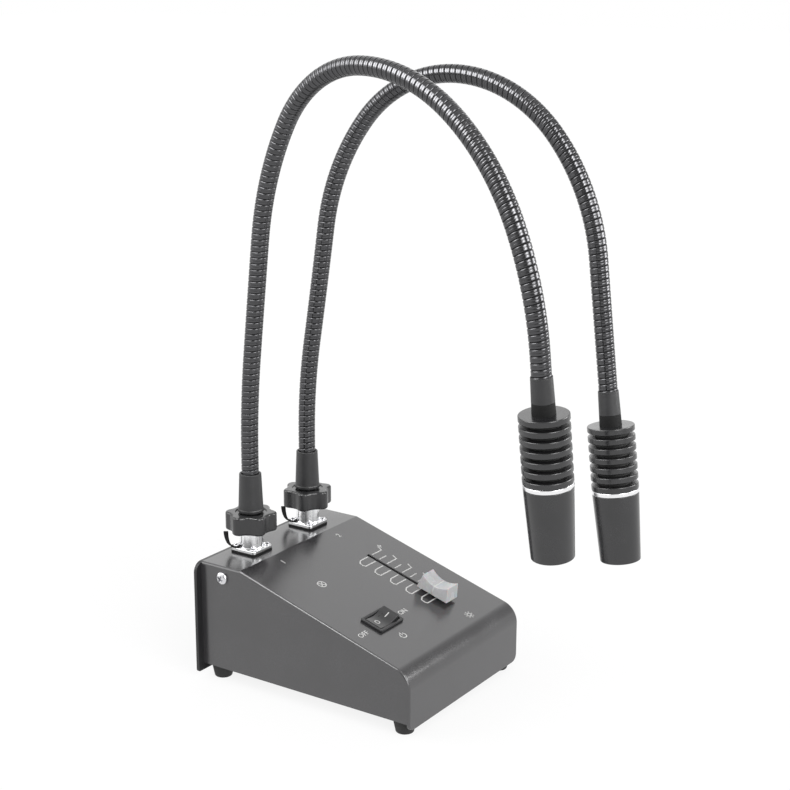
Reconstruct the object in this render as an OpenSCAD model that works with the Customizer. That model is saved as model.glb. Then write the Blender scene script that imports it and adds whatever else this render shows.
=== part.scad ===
// Bench illuminator with two LED heads on goosenecks, for use beside a microscope.
// Front faces -Y, +X is to the right seen from the front, the table is at z = 0.
// The origin is below the middle of the whole object's box; pieces are drawn from the middle of the base.

/* [Base cover] */
// Width of the cover across its sides
body_w = 115; // [105:1:140]
// Depth of the cover from front to rear
body_d = 143; // [135:1:170]
// Height of the flat top above the table
top_z = 71; // [66:0.5:85]
// Height at which the sloping panel would meet the front face
front_z = 36.8; // [33:0.1:45]
// Depth of the flat top behind the sloping panel
flat_d = 28; // [26:0.5:32]
// Bend radius between the sloping panel and the front face
front_bend_r = 12; // [6:0.5:16]
// Sheet thickness of the cover
sheet_t = 1.2; // [0.8:0.1:1.6]
// Height of the side walls' lower edge above the table
side_low_z = 8.5; // [7:0.5:11]
// Height of the front apron's lower edge above the table
apron_low_z = 4.5; // [3:0.5:6]

/* [Rear plate and bottom plate] */
// Thickness of the rear plate
plate_t = 2; // [1.5:0.1:3]
// How far the rear plate stands out past each side of the cover
plate_over = 4.4; // [2:0.1:6]
// Radius of the rear plate's top corners
plate_corner_r = 6; // [3:0.5:9]
// Height of the rear plate's lower edge above the table
plate_low_z = 4; // [3:0.5:6]
// Thickness of the bottom plate
tray_t = 1.5; // [1:0.1:2]
// Height of the bottom plate's upturned flanges
tray_flange_h = 12; // [10:0.5:15]
// Distance of the side screws from the cover's rear edge
side_screw_rear = 15.7; // [13:0.1:18]
// Distance of the side screws below the flat top
side_screw_down = 6.7; // [6:0.1:8]

/* [Feet] */
// Diameter of a foot where it meets the bottom plate
foot_top_d = 13.5; // [11:0.5:14]
// Diameter of a foot where it stands on the table
foot_low_d = 10; // [9:0.5:12]
// Distance of the feet from the cover's sides
foot_inset_x = 8; // [7.5:0.5:12]
// Distance of the feet from the cover's front and rear
foot_inset_y = 8; // [7.5:0.5:14]

/* [Rocker switch] */
// Place of the switch across the panel, from the middle
rocker_x = -26; // [-32:1:-20]
// Place of the switch down the panel, from the bend at the top
rocker_s = 79; // [70:1:84]
// Bezel length across the panel
bezel_w = 22; // [21:0.5:25]
// Bezel length down the panel
bezel_l = 15; // [14:0.5:17]
// Tilt of the rocker to each side
rocker_tilt = 10; // [7:0.5:11]

/* [Brightness slider] */
// Place of the slider across the panel, from the middle
slider_x = 25; // [20:1:32]
// Place of the cap at its dim end, down the panel from the bend
slider_low_s = 82; // [78:1:88]
// Travel of the cap up the panel
slider_travel = 45; // [35:1:50]
// Width of the slot in the panel
slot_w = 2.4; // [2:0.1:3]
// Cap length along the slot
cap_l = 21.5; // [18:0.5:26]
// Cap width across the slot
cap_w = 12; // [9:0.5:15]
// Cap height above its own underside
cap_h = 9; // [8:0.5:12]
// Gap between the panel and the cap
cap_gap = 2; // [0.5:0.1:3]

/* [Sockets and coupling knobs] */
// Distance between the two sockets
socket_pitch = 54; // [48:1:64]
// Distance of the sockets from the cover's rear edge
socket_rear = 12.5; // [12:0.1:14]
// Width of the square socket flange
flange_w = 17.2; // [16.5:0.1:19]
// Thickness of the socket flange
flange_t = 2; // [1.5:0.1:3]
// Thickness of the gasket under the flange
gasket_t = 1; // [0.5:0.1:1.5]
// Diameter of the socket barrel
barrel_d = 14; // [13:0.1:15]
// Height of the knob's underside above the flange
knob_rise = 10; // [8:0.5:13]
// Height of the coupling knob
knob_h = 11; // [9:0.5:14]
// Diameter of the coupling knob over its lobes
knob_d = 30; // [27:0.5:33]
// Turn at which the left knob is tight
left_knob_set = 0; // [0:1:59]
// Turn at which the right knob is tight
right_knob_set = 26; // [0:1:59]

/* [Goosenecks] */
// Outer diameter of a gooseneck over its ribs
neck_d = 10; // [9.5:0.1:10.5]
// Length of one bending length of a gooseneck
link_l = 68.8; // [60:0.1:80]
// Ribs on one bending length
link_ribs = 12; // [6:1:13]
// Heading of the left arm, from straight forward
left_heading = -13; // [-20:1:5]
// Heading of the right arm, from straight forward
right_heading = -1; // [-10:1:20]
// Turn of the left arm's last bend out of the arm's upright plane
left_twist = 14.5; // [-30:0.5:30]
// Turn of the right arm's last bend out of the arm's upright plane
right_twist = 0; // [-30:0.5:30]
// Height of the neck sleeve on the coupling
sleeve_h = 23; // [18:0.5:30]
// Sleeve diameter at the knob
sleeve_low_d = 15; // [13.5:0.1:17]
// Sleeve diameter where the neck leaves it
sleeve_top_d = 12.8; // [11.5:0.1:13.5]

/* [Lamp heads] */
// Length of the tapered end sleeve
tail_l = 18.5; // [15:0.5:25]
// End sleeve diameter where the neck enters
tail_top_d = 10.8; // [10.5:0.1:13]
// End sleeve diameter at the heat sink
tail_low_d = 11.8; // [11:0.1:14]
// Diameter of the cooling discs
sink_d = 25; // [23:0.5:28]
// Number of cooling discs
sink_discs = 7; // [5:1:9]
// Distance from one cooling disc to the next
disc_pitch = 5.2; // [4:0.05:5.5]
// Thickness of a cooling disc
disc_t = 3; // [2:0.1:3.4]
// Length of the bright ring
ring_l = 2.2; // [1.5:0.1:4]
// Length of the front barrel
front_l = 37; // [30:0.5:45]
// Barrel diameter at the bright ring
front_top_d = 24.8; // [23:0.1:28]
// Barrel diameter at the light's end
front_low_d = 21.5; // [21:0.1:24]

/* [Rear inlet] */
// Place of the power inlet across the rear plate, from the middle
inlet_x = -25; // [-35:1:35]
// Height of the power inlet above the table
inlet_z = 32; // [28:1:44]
// Diameter of the inlet's centre pin
inlet_pin_d = 2.1; // [2:0.1:2.5]
// Diameter of the inlet's opening
inlet_bore_d = 5.7; // [5.5:0.1:6.5]

/* [Hidden] */
$fn = 48;
// Gap between pieces that are fitted together
fit = 0.15;
// Gap round pieces that run on each other
run = 0.08;
// Gap between pieces that move past each other
clear = 0.3;
// Overlap that keeps a cut open
cut = 1;

// Cover outline in the side view
rear_y = body_d / 2;
front_y = -body_d / 2;
break_y = rear_y - flat_d;
slope_a = atan((top_z - front_z) / (break_y - front_y));
bend_y = front_y + front_bend_r;
bend_z = top_z - (break_y - bend_y) * tan(slope_a) - front_bend_r / cos(slope_a);

// Screws: shank diameter, head diameter, head height
side_screw = [4, 7.4, 2.4];
plate_screw = [3, 5.6, 1.9];
flange_screw = [2, 3.6, 1.3];
board_screw = [2.5, 4.6, 1.6];
foot_screw = [3, 5.6, 1.9];

// Bottom plate and what stands on it
tray_w = body_w - 2 * (sheet_t + fit);
tray_front_y = front_y + sheet_t + fit;
tray_top_z = side_low_z + tray_t;
tab_t = 2;
tab_half = 5.2;
screw_y = rear_y - side_screw_rear;
screw_z = top_z - side_screw_down;
plate_screw_x = 38;
plate_screw_z = tray_top_z + tray_flange_h / 2;
foot_screw_sink = side_low_z - 2.2;

// Driver board on its standoffs
board = [62, 46, 1.6];
board_y = 6;
standoff_h = 6;
standoff_d = 5.5;
board_hole_inset = 4;
coil = [14, 6, 7];
coil_x = -9;
capacitor = [8, 12];
capacitor_x = 6;
terminal = [8, 10, 9];
terminal_x = 14;
part_y = 9;
board_z = tray_top_z + standoff_h;

// Rocker switch
bezel_t = 1.6;
bezel_rim = 1.5;
rocker_body_h = 12;
rocker_body_rim = 0.9;
rocker_floor = 2;
rocker_cell_w = bezel_w - 2 * bezel_rim;
rocker_cell_l = bezel_l - 2 * (bezel_rim + clear);
rocker_pivot_z = -2;
rocker_pin_r = 1.2;
rocker_pin_in = 0.4;
rocker_end_gap = 1.1;
rocker_half = rocker_cell_w / 2 - rocker_end_gap;
rocker_end_z = 3.2;
rocker_mid_z = 1.2;
rocker_side_z = 1;
rocker_foot_z = -3;

// Brightness slider
blade_l = 4;
blade_w = 1.2;
blade_in_cap = 5;
carriage = [5.6, 7, 4];
pot_h = 7;
pot_w = 9.5;
pot_wall = 1;
slot_end = 3.5;
slot_l = slider_travel + blade_l + 2 * slot_end;
slot_mid_s = slider_low_s - slider_travel / 2;
pot_cell_l = slider_travel + carriage[1] + 2 * slot_end;
cap_dip = 3.2;
cap_draft = 1.8;

// Sockets, plugs and knobs
socket_y = rear_y - socket_rear;
gasket_w = flange_w + 0.6;
flange_z = top_z + gasket_t;
flange_hole = flange_w / 2 - 2.1;
knob_z = flange_z + flange_t + knob_rise;
knob_top_z = knob_z + knob_h;
barrel_r = barrel_d / 2;
barrel_bore_r = barrel_r - 1.8;
knob_web = 4;
barrel_top_z = knob_top_z - knob_web - 2;
socket_tail_r = barrel_r - 0.7;
socket_tail_l = 12;
insert_top_z = flange_z + 4;
contact_r = 0.6;
contact_ring_r = 2.6;
contact_l = 4;
plug_r = barrel_bore_r - 0.3;
plug_collar_t = 1.2;
plug_collar_r = barrel_r - 0.2;
lobe_r = 4.2;
lobe_count = 6;
scallop_r = 4.6;
scallop_out = 2.2;
knob_core_out = 1.5;
strap_t = 0.6;
strap_w = 3;
strap_bend_r = 3.4;
strap_drop = 0.5;

// Goosenecks: lengths of constant bend, in degrees from the sleeve to the head
left_bends = [7.5, 0.5, 24.5, 55, 36.5, 30.5, 25];
right_bends = [9.5, -1, 31, 51.5, 48, 34, 0];
link_count = 7;
last = link_count - 1;
neck_r = neck_d / 2;
groove_r = neck_r - 0.6;
neck_bore_r = 2;
neck_sides = 8;
stub_r = 4;
stub_l = 10;
stub_hole_r = stub_r + 0.15;
ball_r = 3.5;
cup_r = 4.2;
shoulder_l = 2.8;
bore_rings = 4;
sleeve_z = knob_top_z + clear;
neck_z = sleeve_z + sleeve_h + clear;
plug_stud_l = 7;
plug_top_z = sleeve_z + plug_stud_l;

// Lamp heads, measured from the end of the neck
stud_l = 7;
stud_r = 3.4;
sink_core_d = 17;
spigot_d = 20;
spigot_l = 4;
sink_l = (sink_discs - 1) * disc_pitch + disc_t;
sink_at = tail_l;
ring_at = sink_at + sink_l;
ring_d = front_top_d + 0.3;
front_at = ring_at + ring_l;
front_end = front_at + front_l;
lens_d = front_low_d - 3.4;
lens_seat = 2.5;
lens_lip = 0.8;
lens_back_d = 7;
spigot_room = 4;
lens_face = front_end - 2.4;
retainer_t = 1.4;
retainer_w = 1.2;
led_board_t = 1.6;
led_board_d = spigot_d - 3;
led_d = 5;
led_h = 2.4;

// Rear inlet
inlet_flange_d = 11;
inlet_thread_d = 8;
inlet_body_l = 14;
inlet_flange_t = 2;
inlet_nut_d = 12.5;
inlet_nut_t = 2.2;
inlet_pin_l = 9;
inlet_tail_d = 1.2;

// Middle of the whole object's box, from the middle of the base: the left head reaches furthest
left_end = from_socket(last_step(left_bends, left_twist), left_bends, left_heading)
    + swung([0, -joint_at(left_bends, last)[0], 0], left_heading);
left_way = from_socket(last_way(left_bends, left_twist), left_bends, left_heading);
left_low_x = left_end[0] - socket_pitch / 2 + sink_at * left_way[0]
    - sink_d / 2 * sqrt(1 - pow(left_way[0], 2));
left_low_y = left_end[1] + socket_y + front_at * left_way[1]
    - ring_d / 2 * sqrt(1 - pow(left_way[1], 2));
middle_x = (left_low_x + body_w / 2 + plate_over) / 2;
middle_y = (left_low_y + rear_y + plate_t + inlet_flange_t) / 2;

// Puts a piece that is drawn from the middle of the base in its place
module placed() {
    translate([-middle_x, -middle_y, 0]) children();
}

// Puts its children on the sloping panel: x across, s down from the bend, z out of the panel
module on_panel(x, s) {
    translate([x, break_y, top_z]) rotate([slope_a, 0, 0]) translate([0, -s, 0]) children();
}

// Puts its children on a socket's axis, side -1 for left and 1 for right
module on_socket(side) {
    translate([side * socket_pitch / 2, socket_y, 0]) children();
}

// Pan-head screw standing on z = 0 with its shank below and a cross in its head
module pan_screw(size, shank_l) {
    dome_r = size[1] * 0.72;
    slot = size[1] * 0.16;
    difference() {
        union() {
            translate([0, 0, -shank_l]) cylinder(d = size[0] - 2 * run, h = shank_l + size[2] / 2);
            intersection() {
                cylinder(d = size[1], h = size[2]);
                translate([0, 0, size[2] - dome_r]) sphere(r = dome_r);
            }
        }
        for (turn = [0, 90])
            rotate([0, 0, turn])
                translate([-size[1] * 0.3, -slot / 2, size[2] * 0.45]) cube([size[1] * 0.6, slot, size[2]]);
    }
}

// Block with the cover's side outline, drawn in by inset and lengthened at the rear and below
module cover_block(inset, rear_extra, low_z) {
    w = body_w - 2 * inset;
    r = front_bend_r - inset;
    rotate([90, 0, 90]) translate([0, 0, -w / 2]) linear_extrude(w)
        polygon([
            [rear_y + rear_extra, low_z],
            [rear_y + rear_extra, top_z - inset],
            [break_y + inset * tan(slope_a / 2), top_z - inset],
            [bend_y - r * sin(slope_a), bend_z + r * cos(slope_a)],
            [bend_y, bend_z],
            [bend_y - r, bend_z],
            [bend_y - r, low_z]
        ]);
    translate([-w / 2, bend_y, bend_z]) rotate([0, 90, 0]) cylinder(r = r, h = w);
}

module cover() {
    placed() color("dimgray") difference() {
        cover_block(0, 0, apron_low_z);
        cover_block(sheet_t, cut, apron_low_z - cut);
        translate([-body_w, front_y + sheet_t, apron_low_z - cut])
            cube([2 * body_w, body_d + cut, side_low_z - apron_low_z + cut]);
        on_panel(slider_x, slot_mid_s)
            translate([-slot_w / 2, -slot_l / 2, -2 * sheet_t]) cube([slot_w, slot_l, 4 * sheet_t]);
        on_panel(rocker_x, rocker_s) rocker_outer(fit, 2 * sheet_t, 2 * sheet_t);
        for (side = [-1, 1]) {
            on_socket(side) translate([0, 0, top_z - 2 * sheet_t])
                cylinder(r = socket_tail_r + fit, h = 4 * sheet_t);
            on_socket(side) flange_corners()
                translate([0, 0, top_z - 2 * sheet_t]) cylinder(d = flange_screw[0], h = 4 * sheet_t);
            translate([side * body_w / 2, screw_y, screw_z]) rotate([0, 90, 0])
                cylinder(d = side_screw[0] + fit, h = 4 * sheet_t, center = true);
        }
    }
}

module rear_plate() {
    corner_x = body_w / 2 + plate_over - plate_corner_r;
    tab_l = side_screw_rear + tab_half;
    tab_x = body_w / 2 - sheet_t - fit;
    placed() color([0.1, 0.1, 0.11]) difference() {
        union() {
            translate([-corner_x - plate_corner_r, rear_y, plate_low_z])
                cube([2 * (corner_x + plate_corner_r), plate_t, top_z - plate_low_z - plate_corner_r]);
            translate([-corner_x, rear_y, plate_low_z])
                cube([2 * corner_x, plate_t, top_z - plate_low_z]);
            for (side = [-1, 1]) {
                translate([side * corner_x, rear_y, top_z - plate_corner_r]) rotate([-90, 0, 0])
                    cylinder(r = plate_corner_r, h = plate_t);
                translate([side * (tab_x - tab_t / 2) - tab_t / 2, rear_y - tab_l, screw_z - tab_half])
                    cube([tab_t, tab_l + plate_t / 2, 2 * tab_half]);
            }
        }
        for (side = [-1, 1]) {
            translate([side * tab_x, screw_y, screw_z]) rotate([0, 90, 0])
                cylinder(d = side_screw[0], h = 4 * tab_t, center = true);
            translate([side * plate_screw_x, rear_y - cut, plate_screw_z]) rotate([-90, 0, 0])
                cylinder(d = plate_screw[0] + fit, h = plate_t + 2 * cut);
        }
        translate([inlet_x, rear_y - cut, inlet_z]) rotate([-90, 0, 0])
            cylinder(d = inlet_thread_d + 2 * fit, h = plate_t + 2 * cut);
    }
}

module bottom_plate() {
    placed() color([0.12, 0.12, 0.13]) difference() {
        union() {
            translate([-tray_w / 2, tray_front_y, side_low_z])
                cube([tray_w, rear_y - tray_front_y, tray_t]);
            translate([-tray_w / 2, rear_y - tray_t, side_low_z])
                cube([tray_w, tray_t, tray_t + tray_flange_h]);
            for (side = [-1, 1])
                translate([side * (tray_w - tray_t) / 2 - tray_t / 2, tray_front_y, side_low_z])
                    cube([tray_t, rear_y - tray_front_y, tray_t + tray_flange_h / 2]);
        }
        foot_places() translate([0, 0, side_low_z - cut]) cylinder(d = foot_screw[0], h = tray_t + 2 * cut);
        board_corners() translate([0, 0, side_low_z - cut])
            cylinder(d = board_screw[0], h = tray_t + 2 * cut);
        for (side = [-1, 1])
            translate([side * plate_screw_x, rear_y - tray_t - cut, plate_screw_z]) rotate([-90, 0, 0])
                cylinder(d = plate_screw[0], h = tray_t + 2 * cut);
    }
}

module side_screws() {
    placed() color("silver") for (side = [-1, 1])
        translate([side * body_w / 2, screw_y, screw_z]) rotate([0, side * 90, 0])
            pan_screw(side_screw, sheet_t + fit + tab_t);
}

module rear_screws() {
    placed() color("silver") for (side = [-1, 1])
        translate([side * plate_screw_x, rear_y + plate_t, plate_screw_z]) rotate([-90, 0, 0])
            pan_screw(plate_screw, plate_t + tray_t);
}

// The four places where the feet stand
module foot_places() {
    for (side = [-1, 1], end = [-1, 1])
        translate([side * (body_w / 2 - foot_inset_x), end * (body_d / 2 - foot_inset_y), 0]) children();
}

module feet() {
    placed() color([0.07, 0.07, 0.07]) foot_places() difference() {
        cylinder(d1 = foot_low_d, d2 = foot_top_d, h = side_low_z);
        translate([0, 0, -cut]) cylinder(d = foot_screw[1] + 4 * fit, h = foot_screw_sink + cut);
        cylinder(d = foot_screw[0] + fit, h = side_low_z + cut);
    }
}

module foot_screws() {
    placed() color("silver") foot_places() translate([0, 0, foot_screw_sink]) rotate([180, 0, 0])
        pan_screw(foot_screw, side_low_z - foot_screw_sink + tray_t);
}

// The driver board's four fixing places
module board_corners() {
    for (side = [-1, 1], end = [-1, 1])
        translate([
            side * (board[0] / 2 - board_hole_inset),
            board_y + end * (board[1] / 2 - board_hole_inset),
            0
        ]) children();
}

module driver_board() {
    placed() color("darkgreen") difference() {
        translate([-board[0] / 2, board_y - board[1] / 2, board_z]) cube(board);
        board_corners() translate([0, 0, board_z - cut])
            cylinder(d = board_screw[0] + fit, h = board[2] + 2 * cut);
    }
}

// Inductor, two capacitors and two terminal blocks soldered on the board
module driver_parts() {
    top = board_z + board[2];
    placed() color("slategray") translate([0, board_y, top]) {
        translate([coil_x, 0, 0]) difference() {
            cylinder(d = coil[0], h = coil[2]);
            translate([0, 0, cut]) cylinder(d = coil[1], h = coil[2]);
        }
        for (end = [-1, 1]) {
            translate([capacitor_x, end * part_y, 0]) cylinder(d = capacitor[0], h = capacitor[1]);
            translate([terminal_x, end * part_y - terminal[1] / 2, 0]) cube(terminal);
        }
    }
}

module standoffs() {
    placed() color("goldenrod") board_corners() translate([0, 0, tray_top_z]) difference() {
        cylinder(d = standoff_d, h = standoff_h, $fn = 6);
        translate([0, 0, -cut]) cylinder(d = board_screw[0], h = standoff_h + 2 * cut);
    }
}

module board_screws() {
    placed() color("silver") board_corners() translate([0, 0, board_z + board[2]])
        pan_screw(board_screw, board[2] + standoff_h + tray_t);
}

// The switch body's section below the panel, grown by gap, from above the panel to below it
module rocker_outer(gap, above, below) {
    w = bezel_w - 2 * rocker_body_rim + 2 * gap;
    l = bezel_l - 2 * rocker_body_rim + 2 * gap;
    translate([-w / 2, -l / 2, -below]) cube([w, l, above + below]);
}

module rocker_frame() {
    placed() color([0.08, 0.08, 0.09]) on_panel(rocker_x, rocker_s) difference() {
        union() {
            translate([-bezel_w / 2, -bezel_l / 2, 0]) cube([bezel_w, bezel_l, bezel_t]);
            rocker_outer(0, bezel_t / 2, rocker_body_h);
        }
        translate([-rocker_cell_w / 2, -rocker_cell_l / 2, rocker_floor - rocker_body_h])
            cube([rocker_cell_w, rocker_cell_l, rocker_body_h + bezel_t]);
        translate([0, 0, rocker_pivot_z]) rotate([90, 0, 0])
            cylinder(r = rocker_pin_r + run, h = rocker_cell_l + 2 * rocker_pin_in + clear, center = true);
    }
}

// The rocker rests with its left side pressed in
module rocker() {
    l = rocker_cell_l - 2 * clear;
    placed() color([0.06, 0.06, 0.07]) on_panel(rocker_x, rocker_s)
        translate([0, 0, rocker_pivot_z]) rotate([0, -rocker_tilt, 0]) {
            rotate([90, 0, 0]) translate([0, 0, -l / 2]) linear_extrude(l)
                polygon([
                    [-rocker_half, rocker_end_z - rocker_pivot_z],
                    [0, rocker_mid_z - rocker_pivot_z],
                    [rocker_half, rocker_end_z - rocker_pivot_z],
                    [rocker_half, rocker_side_z],
                    [rocker_half / 2, rocker_foot_z],
                    [-rocker_half / 2, rocker_foot_z],
                    [-rocker_half, rocker_side_z]
                ]);
            rotate([90, 0, 0])
                cylinder(r = rocker_pin_r, h = rocker_cell_l + 2 * rocker_pin_in, center = true);
        }
}

module slider_body() {
    placed() color("gray") on_panel(slider_x, slot_mid_s) translate([0, 0, -sheet_t - pot_h]) difference() {
        translate([-pot_w / 2, -pot_cell_l / 2 - pot_wall, 0])
            cube([pot_w, pot_cell_l + 2 * pot_wall, pot_h]);
        translate([-carriage[0] / 2 - clear, -pot_cell_l / 2, pot_wall])
            cube([carriage[0] + 2 * clear, pot_cell_l, carriage[2] + 2 * clear]);
        translate([-slot_w / 2, -slot_l / 2, pot_wall]) cube([slot_w, slot_l, pot_h]);
    }
}

// Carriage in the slider's channel and the blade that carries the cap
module slider_blade() {
    low = -sheet_t - pot_h + pot_wall + clear;
    placed() color("silver") on_panel(slider_x, slider_low_s) {
        translate([-carriage[0] / 2, -carriage[1] / 2, low]) cube(carriage);
        translate([-blade_w / 2, -blade_l / 2, low]) cube([blade_w, blade_l, cap_gap + blade_in_cap - low]);
    }
}

// Saddle-shaped cap, hollowed along its top
module slider_cap() {
    dip_r = (cap_l / 2 - cap_draft) * (cap_l / 2 - cap_draft) / (2 * cap_dip) + cap_dip / 2;
    placed() color([0.8, 0.81, 0.82]) on_panel(slider_x, slider_low_s)
        translate([0, 0, cap_gap]) difference() {
            rotate([90, 0, 90]) translate([0, 0, -cap_w / 2]) linear_extrude(cap_w)
                polygon([
                    [-cap_l / 2, 0],
                    [cap_l / 2, 0],
                    [cap_l / 2 - cap_draft, cap_h],
                    [cap_draft - cap_l / 2, cap_h]
                ]);
            translate([-cap_w, 0, cap_h - cap_dip + dip_r]) rotate([0, 90, 0])
                cylinder(r = dip_r, h = 2 * cap_w);
            translate([-blade_w / 2 - run, -blade_l / 2 - run, -cut])
                cube([blade_w + 2 * run, blade_l + 2 * run, blade_in_cap + run + cut]);
        }
}

// Puts its children on the inlet's axis, z pointing out of the rear plate
module on_inlet() {
    translate([inlet_x, rear_y + plate_t, inlet_z]) rotate([-90, 0, 0]) children();
}

module inlet_body() {
    placed() color([0.05, 0.05, 0.06]) on_inlet() difference() {
        union() {
            cylinder(d = inlet_flange_d, h = inlet_flange_t);
            translate([0, 0, -inlet_body_l])
                cylinder(d = inlet_thread_d, h = inlet_body_l + inlet_flange_t);
        }
        translate([0, 0, inlet_flange_t - inlet_pin_l]) cylinder(d = inlet_bore_d, h = inlet_pin_l + cut);
        translate([0, 0, -inlet_body_l - cut]) cylinder(d = inlet_tail_d + 2 * run, h = inlet_body_l + cut);
    }
}

module inlet_pin() {
    placed() color("silver") on_inlet() translate([0, 0, -inlet_body_l]) {
        cylinder(d = inlet_tail_d, h = inlet_body_l);
        translate([0, 0, inlet_body_l - inlet_pin_l + inlet_flange_t])
            cylinder(d = inlet_pin_d, h = inlet_pin_l);
    }
}

module inlet_nut() {
    placed() color("silver") on_inlet() translate([0, 0, -plate_t - inlet_nut_t]) difference() {
        cylinder(d = inlet_nut_d, h = inlet_nut_t, $fn = 6);
        translate([0, 0, -cut]) cylinder(d = inlet_thread_d + 2 * run, h = inlet_nut_t + 2 * cut);
    }
}

// The four screw places of a socket flange
module flange_corners() {
    for (sx = [-1, 1], sy = [-1, 1]) translate([sx * flange_hole, sy * flange_hole, 0]) children();
}

module socket(side) {
    placed() color("silver") on_socket(side) difference() {
        union() {
            translate([-flange_w / 2, -flange_w / 2, flange_z]) cube([flange_w, flange_w, flange_t]);
            translate([0, 0, flange_z]) cylinder(r = barrel_r, h = barrel_top_z - flange_z);
            translate([0, 0, top_z - socket_tail_l])
                cylinder(r = socket_tail_r, h = socket_tail_l + gasket_t + cut);
        }
        translate([0, 0, top_z - socket_tail_l - cut])
            cylinder(r = barrel_bore_r, h = barrel_top_z - top_z + socket_tail_l + 2 * cut);
        flange_corners() translate([0, 0, flange_z - cut])
            cylinder(d = flange_screw[0] + fit, h = flange_t + 2 * cut);
    }
}

module socket_gaskets() {
    placed() color([0.05, 0.05, 0.05]) for (side = [-1, 1]) on_socket(side) difference() {
        translate([-gasket_w / 2, -gasket_w / 2, top_z]) cube([gasket_w, gasket_w, gasket_t]);
        translate([0, 0, top_z - cut]) cylinder(r = socket_tail_r + fit, h = gasket_t + 2 * cut);
        flange_corners() translate([0, 0, top_z - cut])
            cylinder(d = flange_screw[0] + fit, h = gasket_t + 2 * cut);
    }
}

// Insulator in the socket with its four contact pins
module socket_inserts() {
    placed() color([0.2, 0.2, 0.2]) for (side = [-1, 1]) on_socket(side) {
        translate([0, 0, top_z - socket_tail_l])
            cylinder(r = barrel_bore_r - run, h = insert_top_z - top_z + socket_tail_l);
        contact_places() translate([0, 0, insert_top_z - cut]) cylinder(r = contact_r, h = contact_l + cut);
    }
}

// Four contacts round a socket's axis
module contact_places() {
    for (turn = [45:90:315]) rotate([0, 0, turn]) translate([contact_ring_r, 0, 0]) children();
}

// The rear outer corner holds the strap under its screw
module flange_screws() {
    placed() color("silver") for (side = [-1, 1]) on_socket(side) for (sx = [-1, 1], sy = [-1, 1]) {
        under = sx < 0 && sy > 0 ? strap_t : 0;
        translate([sx * flange_hole, sy * flange_hole, flange_z + flange_t + under])
            pan_screw(flange_screw, under + flange_t + gasket_t + sheet_t);
    }
}

// Thin strap from the flange's rear left screw, curving up beside the barrel to below the knob
module socket_straps() {
    low = flange_z + flange_t;
    rise = knob_z - strap_drop - low - strap_bend_r;
    eye_d = strap_w + 1;
    placed() color([0.04, 0.04, 0.04]) for (side = [-1, 1]) on_socket(side)
        translate([-flange_hole, flange_hole, low]) rotate([0, 0, 135]) difference() {
            union() {
                cylinder(d = eye_d, h = strap_t);
                translate([0, -strap_w / 2, 0]) cube([eye_d / 2, strap_w, strap_t]);
                translate([eye_d / 2, strap_w / 2, strap_bend_r]) rotate([90, 90, 0])
                    rotate_extrude(angle = 90)
                        translate([strap_bend_r - strap_t, 0]) square([strap_t, strap_w]);
                translate([eye_d / 2 + strap_bend_r - strap_t, -strap_w / 2, strap_bend_r])
                    cube([strap_t, strap_w, rise]);
            }
            translate([0, 0, -cut]) cylinder(d = flange_screw[0] + fit, h = strap_t + 2 * cut);
        }
}

// Plug with a collar under the knob and a stud that carries the neck sleeve
module plug(side) {
    collar_z = knob_top_z - knob_web - clear - plug_collar_t;
    placed() color([0.15, 0.15, 0.16]) on_socket(side) difference() {
        union() {
            translate([0, 0, insert_top_z]) cylinder(r = plug_r, h = plug_top_z - insert_top_z);
            translate([0, 0, collar_z]) cylinder(r = plug_collar_r, h = plug_collar_t);
        }
        contact_places() translate([0, 0, insert_top_z - cut])
            cylinder(r = contact_r + run, h = contact_l + cut + clear);
        translate([0, 0, insert_top_z + 2 * contact_l]) cylinder(r = neck_bore_r, h = plug_top_z);
    }
}

// Six-lobed coupling knob, turning round the barrel and held by the plug's collar
module knob(side) {
    lobe_at = knob_d / 2 - lobe_r;
    set = side < 0 ? left_knob_set : right_knob_set;
    placed() color([0.06, 0.06, 0.06]) on_socket(side) rotate([0, 0, set]) difference() {
        union() {
            translate([0, 0, knob_z]) cylinder(r = lobe_at + knob_core_out, h = knob_h);
            for (i = [0:lobe_count - 1]) rotate([0, 0, i * 360 / lobe_count])
                translate([lobe_at, 0, knob_z]) cylinder(r = lobe_r, h = knob_h);
        }
        for (i = [0:lobe_count - 1]) rotate([0, 0, (i + 0.5) * 360 / lobe_count])
            translate([knob_d / 2 + scallop_out, 0, knob_z - cut])
                cylinder(r = scallop_r, h = knob_h + 2 * cut);
        translate([0, 0, knob_z - cut]) cylinder(r = barrel_r + clear, h = knob_h - knob_web + cut);
        translate([0, 0, knob_z]) cylinder(r = plug_r + run, h = knob_h + cut);
    }
}

// Tapered sleeve on the plug's stud, with a hole for the neck's end
module sleeve(side) {
    placed() color([0.06, 0.06, 0.06]) on_socket(side) difference() {
        translate([0, 0, sleeve_z]) cylinder(d1 = sleeve_low_d, d2 = sleeve_top_d, h = sleeve_h);
        translate([0, 0, sleeve_z - cut]) cylinder(r = plug_r + run, h = plug_top_z - sleeve_z + cut + run);
        translate([0, 0, sleeve_z]) cylinder(r = neck_bore_r, h = sleeve_h + cut);
        translate([0, 0, neck_z - stub_l - clear]) cylinder(r = stub_hole_r, h = stub_l + 2 * clear + cut);
    }
}

// Sum of the bends before length k, counting from 0
function turned(bends, k) = k == 0 ? 0 : turned(bends, k - 1) + bends[k - 1];

// Straight part at the start of length k, and at its end, where it enters a sleeve
function lead_in(k) = k == 0 ? neck_d : 0;
function lead_out(k) = k == last ? neck_d : 0;

// Part of the first s of length k that lies on its bend
function on_bend(k, s) = min(max(s - lead_in(k), 0), link_l - lead_in(k) - lead_out(k));

// Angle reached after distance s on length k, which bends by b
function bent(k, b, s) = b * on_bend(k, s) / (link_l - lead_in(k) - lead_out(k));

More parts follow.
